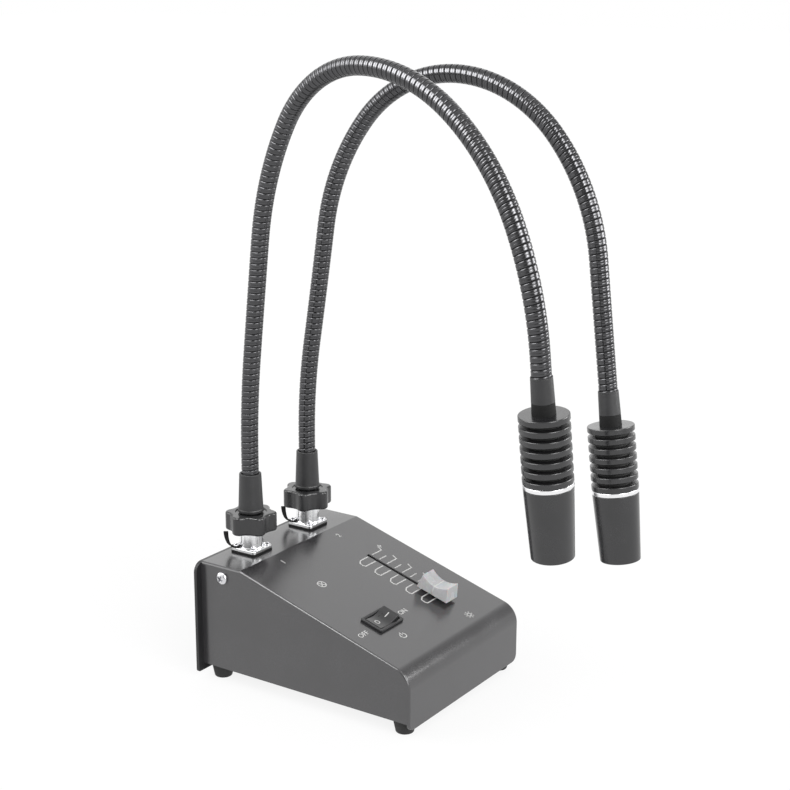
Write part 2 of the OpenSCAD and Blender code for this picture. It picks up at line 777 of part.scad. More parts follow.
// Place after distance s on length k, starting upright: [forward, up]
function arc_at(k, b, s) = let (
    before = min(s, lead_in(k)),
    on = on_bend(k, s),
    after = s - before - on,
    a = bent(k, b, s),
    r = on / max(abs(a) * PI / 180, 0.0001)
) abs(a) < 0.01
    ? [0, s]
    : [sign(a) * r * (1 - cos(a)) + after * sin(a), before + r * sin(abs(a)) + after * cos(a)];

// A step [forward, up] turned forward by a
function tilted(p, a) = [p[0] * cos(a) + p[1] * sin(a), p[1] * cos(a) - p[0] * sin(a)];

// Place of the joint before length k
function joint_at(bends, k) = k == 0
    ? [0, neck_z]
    : joint_at(bends, k - 1) + tilted(arc_at(k - 1, bends[k - 1], link_l), turned(bends, k - 1));

// A step [across, back, up] swung round the upright by a
function swung(v, a) = [v[0] * cos(a) - v[1] * sin(a), v[0] * sin(a) + v[1] * cos(a), v[2]];

// A step [across, back, up] tipped forward by a
function tipped(v, a) = [v[0], v[1] * cos(a) - v[2] * sin(a), v[1] * sin(a) + v[2] * cos(a)];

// Step over the last length, and the way the head points after it, from that length's own start
function last_step(bends, twist) = let (p = arc_at(last, bends[last], link_l)) swung([0, -p[0], p[1]], twist);
function last_way(bends, twist) = swung([0, -sin(bends[last]), cos(bends[last])], twist);

// A step from the last length's own start, seen from the socket
function from_socket(v, bends, heading) = swung(tipped(v, turned(bends, last)), heading);

// Puts its children at the start of length k, or at the neck's end, z along the neck and -y to the inside
// of the bend
module on_neck(side, k) {
    bends = side < 0 ? left_bends : right_bends;
    start = min(k, last);
    place = joint_at(bends, start);
    over = k > last ? arc_at(last, bends[last], link_l) : [0, 0];
    on_socket(side) rotate([0, 0, side < 0 ? left_heading : right_heading])
        translate([0, -place[0], place[1]]) rotate([turned(bends, start), 0, 0])
            rotate([0, 0, k < last ? 0 : side < 0 ? left_twist : right_twist])
                translate([0, -over[0], over[1]]) rotate([k > last ? bends[last] : 0, 0, 0]) children();
}

// Ribs from the start of a length over distance l: [distance along the neck, radius]
function ribs(l) = [
    for (i = [0:link_ribs - 1], half = [0, 0.5])
        [(i + half) * l / link_ribs, half == 0 ? neck_r : groove_r]
];

// Outline of a length, out over the ribs and back through the bore, with a cup at its start
// and a ball at its end, or a stub where it enters a sleeve
function link_outline(first, last) = concat(
    first ? [[-stub_l, stub_r], [0, stub_r]] : [],
    ribs(last ? link_l : link_l - shoulder_l),
    [[last ? link_l : link_l - shoulder_l, neck_r]],
    last
        ? [[link_l, stub_r], [link_l + stub_l, stub_r], [link_l + stub_l, neck_bore_r]]
        : [for (a = [-28, 10, 40, acos(neck_bore_r / ball_r)]) [link_l + ball_r * sin(a), ball_r * cos(a)]],
    [for (i = [bore_rings - 1:-1:1]) [link_l * i / bore_rings, neck_bore_r]],
    first
        ? [[-stub_l, neck_bore_r]]
        : [for (a = [acos(neck_bore_r / cup_r), 38, 16, 0]) [cup_r * sin(a), cup_r * cos(a)]]
);

// One ring of points of radius r round length k, which bends by b, at distance s
function link_ring(k, b, s, r) = let (p = arc_at(k, b, s), a = bent(k, b, s)) [
    for (j = [0:neck_sides - 1])
        let (t = j * 360 / neck_sides)
            [r * cos(t), -p[0] + r * sin(t) * cos(a), p[1] + r * sin(t) * sin(a)]
];

// One bending length of a gooseneck, a ribbed hose with a bore
module neck_link(side, k) {
    b = (side < 0 ? left_bends : right_bends)[k];
    outline = link_outline(k == 0, k == last);
    rings = len(outline);
    points = [for (p = outline) each link_ring(k, b, p[0], p[1])];
    faces = [
        for (i = [0:rings - 1], j = [0:neck_sides - 1], half = [0, 1])
            let (
                i2 = (i + 1) % rings,
                j2 = (j + 1) % neck_sides,
                low = i * neck_sides,
                high = i2 * neck_sides
            )
                half == 0 ? [low + j, high + j, high + j2] : [low + j, high + j2, low + j2]
    ];
    placed() color([0.1, 0.1, 0.1]) on_neck(side, k) polyhedron(points, faces);
}

// Tapered end sleeve, screwed into the heat sink with its stud
module tail(side) {
    placed() color([0.05, 0.05, 0.05]) on_neck(side, link_count) difference() {
        union() {
            cylinder(d1 = tail_top_d, d2 = tail_low_d, h = tail_l);
            cylinder(r = stud_r, h = tail_l + stud_l);
        }
        translate([0, 0, -cut]) cylinder(r = stub_hole_r, h = stub_l + clear + cut);
        cylinder(r = neck_bore_r, h = tail_l + stud_l + cut);
    }
}

// Finned heat sink with a spigot for the ring and the barrel
module heat_sink(side) {
    placed() color([0.07, 0.07, 0.07]) on_neck(side, link_count) translate([0, 0, sink_at]) difference() {
        union() {
            cylinder(d = sink_core_d, h = sink_l);
            for (i = [0:sink_discs - 1]) translate([0, 0, i * disc_pitch]) cylinder(d = sink_d, h = disc_t);
            translate([0, 0, sink_l - disc_t])
                cylinder(d = spigot_d - 2 * run, h = disc_t + ring_l + spigot_l);
        }
        translate([0, 0, -cut]) cylinder(r = stud_r + run, h = stud_l + clear + cut);
        cylinder(r = neck_bore_r, h = sink_l + ring_l + spigot_l + cut);
    }
}

module bright_ring(side) {
    placed() color("whitesmoke") on_neck(side, link_count) translate([0, 0, ring_at]) difference() {
        cylinder(d = ring_d, h = ring_l);
        translate([0, 0, -cut]) cylinder(d = spigot_d, h = ring_l + 2 * cut);
    }
}

// Tapered barrel on the heat sink's spigot, open at the light's end
module front(side) {
    ledge = lens_face - lens_seat;
    placed() color([0.05, 0.05, 0.05]) on_neck(side, link_count) difference() {
        translate([0, 0, front_at]) cylinder(d1 = front_top_d, d2 = front_low_d, h = front_l);
        translate([0, 0, front_at - cut]) cylinder(d = spigot_d, h = spigot_l + spigot_room + cut);
        translate([0, 0, front_at]) cylinder(d = lens_d - 2 * lens_lip, h = front_l + cut);
        translate([0, 0, ledge]) cylinder(d = lens_d, h = front_end - ledge + cut);
    }
}

// LED on its round metal-core board, at the heat sink's foot
module led(side) {
    at = front_at + spigot_l;
    placed() color("gold") on_neck(side, link_count) translate([0, 0, at]) {
        cylinder(d = led_board_d, h = led_board_t);
        translate([0, 0, led_board_t / 2]) cylinder(d = led_d, h = (led_board_t + led_h) / 2);
        intersection() {
            translate([0, 0, led_board_t]) cylinder(d = led_d, h = led_h);
            translate([0, 0, led_board_t]) sphere(d = 2 * led_h);
        }
    }
}

// Collimating lens: a cone that opens towards the light's end, with a rim on the barrel's ledge
module lens(side) {
    back = front_at + spigot_l + led_board_t + led_h + clear;
    ledge = lens_face - lens_seat;
    placed() color("lightblue") on_neck(side, link_count) {
        translate([0, 0, back])
            cylinder(d1 = lens_back_d, d2 = lens_d - 2 * (lens_lip + fit), h = ledge - back);
        translate([0, 0, ledge]) cylinder(d = lens_d - 2 * run, h = lens_seat);
    }
}

// Retaining ring in front of the lens
module retainer(side) {
    placed() color([0.05, 0.05, 0.05]) on_neck(side, link_count) translate([0, 0, lens_face]) difference() {
        cylinder(d = lens_d - 2 * run, h = retainer_t);
        translate([0, 0, -cut]) cylinder(d = lens_d - 2 * retainer_w, h = retainer_t + 2 * cut);
    }
}

cover();
rear_plate();
bottom_plate();
side_screws();
rear_screws();
feet();
foot_screws();
driver_board();
driver_parts();
standoffs();
board_screws();
rocker_frame();
rocker();
slider_body();
slider_blade();
slider_cap();
inlet_body();
inlet_pin();
inlet_nut();
socket(-1);  // left_socket
socket(1);  // right_socket
socket_gaskets();
socket_inserts();
flange_screws();
socket_straps();
plug(-1);  // left_plug
plug(1);  // right_plug
knob(-1);  // left_knob
knob(1);  // right_knob
sleeve(-1);  // left_sleeve
sleeve(1);  // right_sleeve
neck_link(-1, 0);  // left_neck_1
neck_link(-1, 1);  // left_neck_2
neck_link(-1, 2);  // left_neck_3
neck_link(-1, 3);  // left_neck_4
neck_link(-1, 4);  // left_neck_5
neck_link(-1, 5);  // left_neck_6
neck_link(-1, 6);  // left_neck_7
neck_link(1, 0);  // right_neck_1
neck_link(1, 1);  // right_neck_2
neck_link(1, 2);  // right_neck_3
neck_link(1, 3);  // right_neck_4
neck_link(1, 4);  // right_neck_5
neck_link(1, 5);  // right_neck_6
neck_link(1, 6);  // right_neck_7
tail(-1);  // left_tail
heat_sink(-1);  // left_heat_sink
bright_ring(-1);  // left_ring
front(-1);  // left_front
led(-1);  // left_led
lens(-1);  // left_lens
retainer(-1);  // left_retainer
tail(1);  // right_tail
heat_sink(1);  // right_heat_sink
bright_ring(1);  // right_ring
front(1);  // right_front
led(1);  // right_led
lens(1);  // right_lens
retainer(1);  // right_retainer
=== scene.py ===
from math import atan2, ceil, cos, pi, radians, sin, sqrt, tan

import bmesh
import bpy
from mathutils import Matrix, Vector


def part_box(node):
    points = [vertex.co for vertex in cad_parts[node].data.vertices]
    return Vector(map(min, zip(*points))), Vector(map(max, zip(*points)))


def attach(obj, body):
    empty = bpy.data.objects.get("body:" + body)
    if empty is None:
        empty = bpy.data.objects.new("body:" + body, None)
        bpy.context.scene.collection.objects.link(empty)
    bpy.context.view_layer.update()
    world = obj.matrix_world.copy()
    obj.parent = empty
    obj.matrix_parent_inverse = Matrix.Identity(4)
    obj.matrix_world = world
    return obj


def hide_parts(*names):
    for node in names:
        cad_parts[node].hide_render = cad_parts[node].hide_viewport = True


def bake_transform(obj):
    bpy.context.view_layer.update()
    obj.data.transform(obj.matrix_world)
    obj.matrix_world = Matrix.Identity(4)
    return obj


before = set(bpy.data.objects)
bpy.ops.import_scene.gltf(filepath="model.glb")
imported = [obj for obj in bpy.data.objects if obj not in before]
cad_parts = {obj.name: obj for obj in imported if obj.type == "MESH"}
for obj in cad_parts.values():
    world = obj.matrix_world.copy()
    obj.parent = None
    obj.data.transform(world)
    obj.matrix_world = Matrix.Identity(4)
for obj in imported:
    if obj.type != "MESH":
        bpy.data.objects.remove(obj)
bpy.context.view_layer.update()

# Cover of the base
# One 1.2 mm steel sheet folded into a flat top, a sloping panel, a wide front bend and an apron.
# Its sides turn down over a small radius. Powder-coated dark grey, screwed to the rear plate at both sides.
MM = 0.001
SIDES = (-1, 1)
cover_low, cover_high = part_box("cover")
BASE = Matrix.Translation(
    ((cover_low.x + cover_high.x) / 2, (cover_low.y + cover_high.y) / 2, 0)) @ Matrix.Scale(MM, 4)
cover_w, top_z, panel_foot_z = 115, 71, 36.8
rear_y, break_y, front_y = 71.5, 43.5, -71.5
slope = atan2(top_z - panel_foot_z, break_y - front_y)
sheet_t, fold_r, crease_r, front_bend_r = 1.2, 1.5, 3, 12
side_low, apron_low, apron_corner_r = 8.5, 4.5, 4
bend_y = front_y + front_bend_r
bend_z = top_z - (break_y - bend_y) * tan(slope) - front_bend_r / cos(slope)
slider_x, slot_s, slot_w, slot_l = 25, 59.5, 2.4, 56
switch_x, switch_s, switch_hole_w, switch_hole_l = -26, 79, 20.5, 13.5
socket_x, socket_y, socket_hole_r = 27, 59, 6.45
cut_depth = 3


def moved(x=0, y=0, z=0):
    """A shift by these lengths."""
    return Matrix.Translation((x, y, z))


def on_panel(x, s):
    """Place on the sloping panel: x across, s down from the bend at its top, z out of it."""
    return BASE @ moved(x, break_y, top_z) @ Matrix.Rotation(slope, 4, "X") @ moved(y=-s)


def quarter(steps):
    """The turns of a quarter round in even steps, with both ends."""
    return [pi / 2 * i / steps for i in range(steps + 1)]


def add(tree, kind, feeds=None, **settings):
    """Adds a node with its settings, sets or links its inputs, and gives its outputs."""
    made = tree.nodes.new(kind)
    for name, value in settings.items():
        setattr(made, name, value)
    for name, value in (feeds or {}).items():
        if isinstance(value, bpy.types.NodeSocket):
            tree.links.new(value, made.inputs[name])
        else:
            made.inputs[name].default_value = value
    return made.outputs


def number(tree, operation, *values, **settings):
    """The result of a sum on numbers."""
    return add(tree, "ShaderNodeMath", dict(enumerate(values)), operation=operation, **settings)[0]


def vector(tree, operation, *values, out="Vector", **named):
    """The result of a sum on vectors."""
    feeds = {**dict(enumerate(values)), **named}
    return add(tree, "ShaderNodeVectorMath", feeds, operation=operation)[out]


def ramp(tree, value, start, end, low=0, high=1, smooth=False):
    """A value taken from one range to another, and held at its ends."""
    feeds = {"Value": value, "From Min": start, "From Max": end, "To Min": low, "To Max": high}
    way = "SMOOTHSTEP" if smooth else "LINEAR"
    return add(tree, "ShaderNodeMapRange", feeds, interpolation_type=way)["Result"]


def mixed(tree, share, colour, other):
    """A colour, with a share of another in it."""
    return add(tree, "ShaderNodeMix", {0: share, 6: colour, 7: other}, data_type="RGBA")[2]


def new_group(name, kind, inputs, outputs):
    """A node group with named sockets: the group, what it is given and the node for its results."""
    tree = bpy.data.node_groups.new(name, kind)
    for way, sockets in (("INPUT", inputs), ("OUTPUT", outputs)):
        for socket, form in sockets.items():
            tree.interface.new_socket(socket, in_out=way, socket_type="NodeSocket" + form)
    return tree, tree.nodes.new("NodeGroupInput").outputs, tree.nodes.new("NodeGroupOutput")


# Fine grain and broad patches, which every painted, moulded or handled surface shows
surface_grain, given, result = new_group(
    "surface grain", "ShaderNodeTree",
    {"Grain Scale": "Float", "Patch Scale": "Float"}, {"Grain": "Float", "Patch": "Float"})
at_piece = add(surface_grain, "ShaderNodeTexCoord")["Object"]
for size, out in (("Grain Scale", "Grain"), ("Patch Scale", "Patch")):
    cloud = add(surface_grain, "ShaderNodeTexNoise", {"Vector": at_piece, "Scale": given[size], "Detail": 3})
    surface_grain.links.new(ramp(surface_grain, cloud[0], 0.3, 0.7), result.inputs[out])

# Paler edges: partly rubbed wear, where a finish is thinner, and partly a painted highlight along the edges
edge_wear_and_highlight, given, result = new_group(
    "edge wear and highlight", "ShaderNodeTree", {"Width": "Float", "Patch": "Float"}, {"Wear And Highlight": "Float"})
softened = add(edge_wear_and_highlight, "ShaderNodeBevel", {"Radius": given["Width"]}, samples=4)[0]
true = add(edge_wear_and_highlight, "ShaderNodeNewGeometry")["Normal"]
edge = ramp(edge_wear_and_highlight, vector(edge_wear_and_highlight, "DOT_PRODUCT", softened, true, out="Value"), 0.995, 0.86)
edge_wear_and_highlight.links.new(number(edge_wear_and_highlight, "MULTIPLY", edge, given["Patch"]), result.inputs["Wear And Highlight"])


def grained(name, dark, light, rough, scale, depth, patches, worn_and_lit=None, **plain):
    """A finish with grain, so many micrometres deep, and with broad patches in its gloss."""
    material = bpy.data.materials.new(name)
    material.use_nodes = True
    tree = material.node_tree
    shader = tree.nodes["Principled BSDF"].inputs
    for socket, value in plain.items():
        shader[socket.replace("_", " ")].default_value = value
    sizes = {"Grain Scale": scale, "Patch Scale": patches}
    grain = add(tree, "ShaderNodeGroup", sizes, node_tree=surface_grain)
    colour = mixed(tree, number(tree, "MULTIPLY", grain["Grain"], grain["Patch"]), (*dark, 1), (*light, 1))
    # Paler edges, partly wear and partly a painted highlight.
    if worn_and_lit:
        width, pale_edge = worn_and_lit
        rubbed_and_lit = add(tree, "ShaderNodeGroup", {"Width": width, "Patch": grain["Patch"]}, node_tree=edge_wear_and_highlight)
        colour = mixed(tree, rubbed_and_lit["Wear And Highlight"], colour, (*pale_edge, 1))
    bump = add(tree, "ShaderNodeBump", {"Height": grain["Grain"], "Strength": 0.5, "Distance": depth * 1e-6})
    tree.links.new(colour, shader["Base Color"])
    tree.links.new(ramp(tree, grain["Patch"], 0, 1, *rough), shader["Roughness"])
    tree.links.new(bump["Normal"], shader["Normal"])
    return material


def put(name, data):
    """A new object in the scene."""
    made = bpy.data.objects.new(name, data)
    bpy.context.collection.objects.link(made)
    return made


def worked(piece):
    """Turns a piece's modifiers into a plain mesh."""
    seen = piece.evaluated_get(bpy.context.evaluated_depsgraph_get())
    plain = bpy.data.meshes.new_from_object(seen)
    piece.modifiers.clear()
    piece.data = plain
    return piece


def evenly_shaded(piece):
    """Works a piece's modifiers, and shades its flats evenly."""
    flats = piece.modifiers.new("flats", "WEIGHTED_NORMAL")
    flats.keep_sharp = True
    return worked(piece)


def cut_by(piece, tool):
    """Lets a tool's shape be cut out of a piece."""
    cut = piece.modifiers.new("cut", "BOOLEAN")
    cut.operation, cut.object, cut.solver = "DIFFERENCE", tool, "EXACT"


def piece_of(name, bm, place, material, sharp=40, weighted=True):
    """A named piece from a mesh drawn in millimetres, softly shaded and put in its place."""
    mesh = bpy.data.meshes.new(name)
    bm.to_mesh(mesh)
    bm.free()
    mesh.shade_smooth()
    mesh.set_sharp_from_angle(angle=radians(sharp))
    if material:
        mesh.materials.append(material)
    piece = put(name, mesh)
    if weighted:
        evenly_shaded(piece)
    piece.data.transform(place)
    return piece


def drawn(name, bm):
    """A plain mesh in millimetres, to make a piece with: a start, a tool or what is copied."""
    return piece_of(name, bm, Matrix(), None, weighted=False)


def block(bm, low, high):
    """Adds a plain box between two corners."""
    low, high = Vector(low), Vector(high)
    place = Matrix.LocRotScale((low + high) / 2, None, high - low)
    return bmesh.ops.create_cube(bm, size=1, matrix=place)["verts"]


def fixed(piece, body, slot, *nodes):
    """Lets a piece ride on its body, in the place of these CAD nodes."""
    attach(piece, body)
    if nodes:
        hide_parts(*nodes)


cover_paint = grained(
    "cover paint", (0.036, 0.035, 0.037), (0.048, 0.047, 0.05), (0.2, 0.27), 1600, 12, 40,
    worn_and_lit=(0.0008, (0.1, 0.099, 0.102)), Specular_IOR_Level=1)

# Stations down the outline: place, direction of the outside, half width
round_steps = 6
crease_y, crease_z = break_y + crease_r * tan(slope / 2), top_z - crease_r
stations = [(rear_y, top_z, 0, cover_w / 2)]
for y, z, r, start, end, steps in ((crease_y, crease_z, crease_r, 0, slope, 4),
                                   (bend_y, bend_z, front_bend_r, slope, pi / 2, 14)):
    for i in range(steps + 1):
        a = start + (end - start) * i / steps
        stations.append((y - r * sin(a), z + r * cos(a), a, cover_w / 2))
walled = len(stations) + 1
for a in quarter(round_steps):
    z = apron_low + apron_corner_r * (1 - sin(a))
    stations.append((front_y, z, pi / 2, cover_w / 2 - apron_corner_r * (1 - cos(a))))

bm = bmesh.new()
fold = quarter(round_steps)
columns = [(-1, t) for t in reversed(fold)] + [(1, t) for t in fold]
rows = []
for y, z, a, half in stations:
    rows.append([
        bm.verts.new((
            side * (half - fold_r + fold_r * sin(t)),
            y + fold_r * (1 - cos(t)) * sin(a),
            z - fold_r * (1 - cos(t)) * cos(a)))
        for side, t in columns])
for upper, lower in zip(rows, rows[1:]):
    for i in range(len(upper) - 1):
        bm.faces.new((upper[i], lower[i], lower[i + 1], upper[i + 1]))
for end, side in ((0, -1), (-1, 1)):
    rear_foot = bm.verts.new((side * cover_w / 2, rear_y, side_low))
    wall = [row[end] for row in rows[:walled]] + [rear_foot]
    bm.faces.new(wall if side > 0 else wall[::-1])
bm.normal_update()
if max(bm.faces, key=lambda f: f.calc_area() * abs(f.normal.z)).normal.z < 0:
    bmesh.ops.reverse_faces(bm, faces=bm.faces)
cover = piece_of("cover_shell", bm, Matrix(), cover_paint, weighted=False)

# Openings for the slider, the switch and the two sockets
cutter = bmesh.new()
for place, width, long in ((on_panel(slider_x, slot_s), slot_w, slot_l),
                           (on_panel(switch_x, switch_s), switch_hole_w, switch_hole_l)):
    opening = block(cutter, (-width / 2, -long / 2, -cut_depth), (width / 2, long / 2, cut_depth))
    bmesh.ops.transform(cutter, matrix=BASE.inverted() @ place, verts=opening)
for side in SIDES:
    opening = bmesh.ops.create_cone(
        cutter, segments=40, radius1=socket_hole_r, radius2=socket_hole_r, depth=8, cap_ends=True)["verts"]
    bmesh.ops.translate(cutter, vec=(side * socket_x, socket_y, top_z), verts=opening)
openings = drawn("openings", cutter)
walls = cover.modifiers.new("sheet", "SOLIDIFY")
walls.thickness, walls.offset, walls.use_even_offset = sheet_t, -1, True
cut_by(cover, openings)
evenly_shaded(cover).data.transform(BASE)
bpy.data.objects.remove(openings)
fixed(cover, "base", "cover_paint", "cover")

# Print on the panel
# White screen print: the scale beside the slider, ON and OFF at the switch, plain signs and socket numbers.
# The scale is one mark of a linked pair of ticks, a hooked tick and a short tick, repeated down the slot.
ink_t, sign_w = 0.05, 0.6
print_white = grained(
    "white print", (0.62, 0.62, 0.61), (0.8, 0.8, 0.79), (0.45, 0.6), 3000, 8, 260)


def loft(rings, closed=False, bm=None):
    """A mesh through rings of points, capped at its ends unless the rings close up."""
    bm = bm or bmesh.new()
    uv = bm.loops.layers.uv.get("run") or bm.loops.layers.uv.new("run")
    rows = [[bm.verts.new(p) for p in ring] for ring in rings]
    count, run, made = len(rows[0]), 0, []
    for a, b in list(zip(rows, rows[1:])) + ([(rows[-1], rows[0])] if closed else []):
        step = (a[0].co - b[0].co).length
        for i in range(count):
            j = (i + 1) % count
            made.append(bm.faces.new((a[i], a[j], b[j], b[i])))
            for loop, u, v in zip(made[-1].loops, (i, i + 1, i + 1, i), (run, run, run + step, run + step)):
                loop[uv].uv = (u / count, v)
        run += step
    if not closed:
        made += [bm.faces.new(rows[0][::-1]), bm.faces.new(rows[-1])]
    bmesh.ops.recalc_face_normals(bm, faces=made)
    return bm


def stroke(bm, points, width, closed=False):
    """Adds a line of ink through these points, with mitred corners."""
    points = [Vector(p) for p in points]
    count = len(points)
    section = ((1, ink_t), (1, 0), (-1, 0), (-1, ink_t))
    rings = []
    for i, p in enumerate(points):
        before = points[i - 1] if i or closed else None
        after = points[(i + 1) % count] if i < count - 1 or closed else None
        a = (p - before).normalized() if before is not None else (after - p).normalized()
        b = (after - p).normalized() if after is not None else a
        across = (Vector((-a.y, a.x)) + Vector((-b.y, b.x))).normalized()
        reach = width / 2 / max(across.dot(Vector((-a.y, a.x))), 0.4)
        rings.append([(*(p + across * reach * way), z) for way, z in section])
    loft(rings, closed, bm)


def circle(x, y, r, count=28, start=0.0, turn=2 * pi):
    """Points on a circle or, with a smaller turn, on an arc."""
    steps = count if turn == 2 * pi else count - 1
    turns = [start + turn * i / steps for i in range(count)]
    return [(x + r * cos(a), y + r * sin(a)) for a in turns]


def ray(x, y, turn, near, far):
    """The ends of a straight line out from a place."""
    return [(x + r * cos(turn), y + r * sin(turn)) for r in (near, far)]


def lettering(bm, text, size, x, y):
    """Adds plain letters or figures, centred on a place."""
    curve = bpy.data.curves.new(text, "FONT")
    curve.body, curve.size, curve.align_x, curve.align_y = text, size, "CENTER", "CENTER"
    curve.offset, curve.extrude = 0.012 * size, ink_t / 2
    sign = put(text, curve)
    flat = bpy.data.meshes.new_from_object(sign.evaluated_get(bpy.context.evaluated_depsgraph_get()))
    flat.transform(moved(x, y, ink_t / 2))
    bm.from_mesh(flat)
    bpy.data.objects.remove(sign)


def printed(name, bm, place, body):
    """A piece of print that rides on its body."""
    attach(piece_of(name, bm, place, print_white, weighted=False), body)


def end_painted(tree, geometry, given, result):
    """Ends a Geometry Nodes tree: copies are made real and get their finish."""
    real = add(tree, "GeometryNodeRealizeInstances", {0: geometry})[0]
    painted = add(tree, "GeometryNodeSetMaterial", {"Geometry": real, "Material": given["Material"]})
    tree.links.new(painted[0], result.inputs[0])


def grown(piece, tree, place, values):
    """Runs a Geometry Nodes tree on a piece, makes it plain and puts it in its place."""
    nodes = piece.modifiers.new(tree.name, "NODES")
    nodes.node_group = tree
    for item in tree.interface.items_tree:
        if item.item_type == "SOCKET" and item.in_out == "INPUT" and item.name in values:
            nodes[item.identifier] = values[item.name]
    worked(piece).data.transform(place)
    return piece


# Geometry Nodes: the piece's own mesh, and a row of copies of another one beside it
tree, given, result = new_group(
    "row of copies", "GeometryNodeTree",
    {"Geometry": "Geometry", "Copy": "Object", "Count": "Int", "Start": "Vector", "Step": "Vector",
     "Material": "Material"}, {"Geometry": "Geometry"})
line = add(tree, "GeometryNodeMeshLine", {
    "Count": given["Count"], "Start Location": given["Start"], "Offset": given["Step"]}, mode="OFFSET")
one = add(tree, "GeometryNodeObjectInfo", {"Object": given["Copy"]})
copies = add(tree, "GeometryNodeInstanceOnPoints", {"Points": line[0], "Instance": one["Geometry"]})
joined = add(tree, "GeometryNodeJoinGeometry", {0: copies[0]})
tree.links.new(given["Geometry"], joined[0].node.inputs[0])
end_painted(tree, joined[0], given, result)
row_of_copies = tree


def row_on(piece, copy, count, start, step, material, place):
    """Adds a row of copies to a piece, and puts it in its place."""
    grown(piece, row_of_copies, place, {
        "Copy": copy, "Count": count, "Start": start, "Step": step, "Material": material})
    bpy.data.objects.remove(copy)
    return piece


tick_w, tick_step, scale_pairs, scale_s = 0.75, 5.65, 5, 33.3
bm = bmesh.new()
stroke(bm, [(-2, 0), (-9.6, 0), (-12.4, -1.6), (-12.8, -4.2), (-12, -tick_step), (-2, -tick_step)], tick_w)
stroke(bm, [(2.3, -tick_step), (9.2, -tick_step)], tick_w)
stroke(bm, [(2.3, 0), (12, 0), (13.4, 3.8)], tick_w)
mark = drawn("scale_mark", bm)
bm = bmesh.new()
stroke(bm, [(12.9, 3.4), (16.1, 3.4)], tick_w)
stroke(bm, [(14.5, 1.8), (14.5, 5)], tick_w)
scale = row_on(drawn("panel_scale", bm), mark, scale_pairs, (0, 0, 0), (0, -2 * tick_step, 0),
               print_white, on_panel(slider_x, scale_s))
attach(scale, "base")

letter_h, figure_h, figure_s = 4.6, 5, 8
power_x, power_y, power_r = -27.5, -94.8, 2
sun_x, sun_y, sun_r, sun_rays = 24.5, -106, 1.3, 8
lamp_x, lamp_y, lamp_r = -26, -35.8, 2.6
bm = bmesh.new()
lettering(bm, "ON", letter_h, -7.8, -80.7)
lettering(bm, "OFF", letter_h, -46.4, -80.9)
stroke(bm, circle(power_x, power_y, power_r, 24, radians(125), radians(290)), sign_w)
stroke(bm, [(power_x, power_y + 0.2), (power_x, power_y + 2.9)], sign_w)
stroke(bm, circle(sun_x, sun_y, sun_r), 0.55, True)
for i in range(sun_rays):
    stroke(bm, ray(sun_x, sun_y, 2 * pi * i / sun_rays, 2, 3), 0.5)
stroke(bm, circle(lamp_x, lamp_y, lamp_r), sign_w, True)
for turn in (pi / 4, 3 * pi / 4):
    stroke(bm, ray(lamp_x, lamp_y, turn, -lamp_r, lamp_r), sign_w)
printed("panel_signs", bm, on_panel(0, 0), "base")
bm = bmesh.new()
for figure, side in (("1", -1), ("2", 1)):
    lettering(bm, figure, figure_h, side * socket_x, -figure_s)
printed("socket_numbers", bm, on_panel(0, 0), "base")

# Rear plate
# A 2 mm steel plate, a little wider than the cover, with rounded top corners and two tabs inside for the
# side screws. Painted satin black.
black_paint = grained(
    "black paint", (0.012, 0.012, 0.013), (0.02, 0.02, 0.021), (0.3, 0.42), 1400, 20, 40,
    worn_and_lit=(0.0006, (0.05, 0.05, 0.052)))


def spun(degrees, axis):
    """A turn about an axis."""
    return Matrix.Rotation(radians(degrees), 4, axis)


def rounded_outline(width, length, radius, count=6):
    """Points round a rectangle with rounded corners, the same number for any size."""
    points = []
    for corner, (cx, cy) in enumerate(((1, 1), (-1, 1), (-1, -1), (1, -1))):
        r = radius[corner] if isinstance(radius, tuple) else radius
        for i in range(count + 1):
            a = pi / 2 * (corner + i / count)
            points.append((cx * (width / 2 - r) + r * cos(a), cy * (length / 2 - r) + r * sin(a)))
    return points


def inset(points, by):
    """An outline drawn in by a distance, along its own corners."""
    out = []
    for i, p in enumerate(points):
        a, b = Vector(points[i - 1]), Vector(points[(i + 1) % len(points)])
        along = (b - a).normalized()
        out.append((p[0] - along.y * by, p[1] + along.x * by))
    return out


def slab_rings(points, low, high, edge, steps=4):
    """Rings of a flat piece with this outline and rounded edges."""
    turns = quarter(steps)
    under = [[(*p, low + edge * (1 - cos(a))) for p in inset(points, edge * (1 - sin(a)))] for a in turns]
    over = [[(*p, high - edge * (1 - sin(a))) for p in inset(points, edge * (1 - cos(a)))] for a in turns]
    return under + over


plate_w, plate_low, plate_t, plate_edge = 123.8, 4, 2, 0.4
tab_x, tab_t, tab_low, tab_high, tab_reach = 55.15, 2, 59.1, 69.5, 20.9
plate = rounded_outline(plate_w, top_z - plate_low, (6, 6, 1.5, 1.5))
plate = [(x, y + (top_z + plate_low) / 2) for x, y in plate]
bm = loft(slab_rings(plate, -plate_t, 0, plate_edge))
for side in SIDES:
    inner, outer = side * tab_x - tab_t / 2, side * tab_x + tab_t / 2
    block(bm, (inner, tab_low, -plate_t / 2), (outer, tab_high, tab_reach))
rear_place = BASE @ moved(y=rear_y) @ spun(90, "X")
fixed(piece_of("rear_panel", bm, rear_place, black_paint), "base", "black_paint", "rear_plate")

# Bottom plate
# A shallow folded steel tray, painted black. It closes the base, and carries the feet and the board.


def dressed(material, *nodes):
    """Gives CAD nodes that keep their shape their finish."""
    for node in nodes:
        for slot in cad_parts[node].material_slots:
            slot.material = material


dressed(black_paint, "bottom_plate")

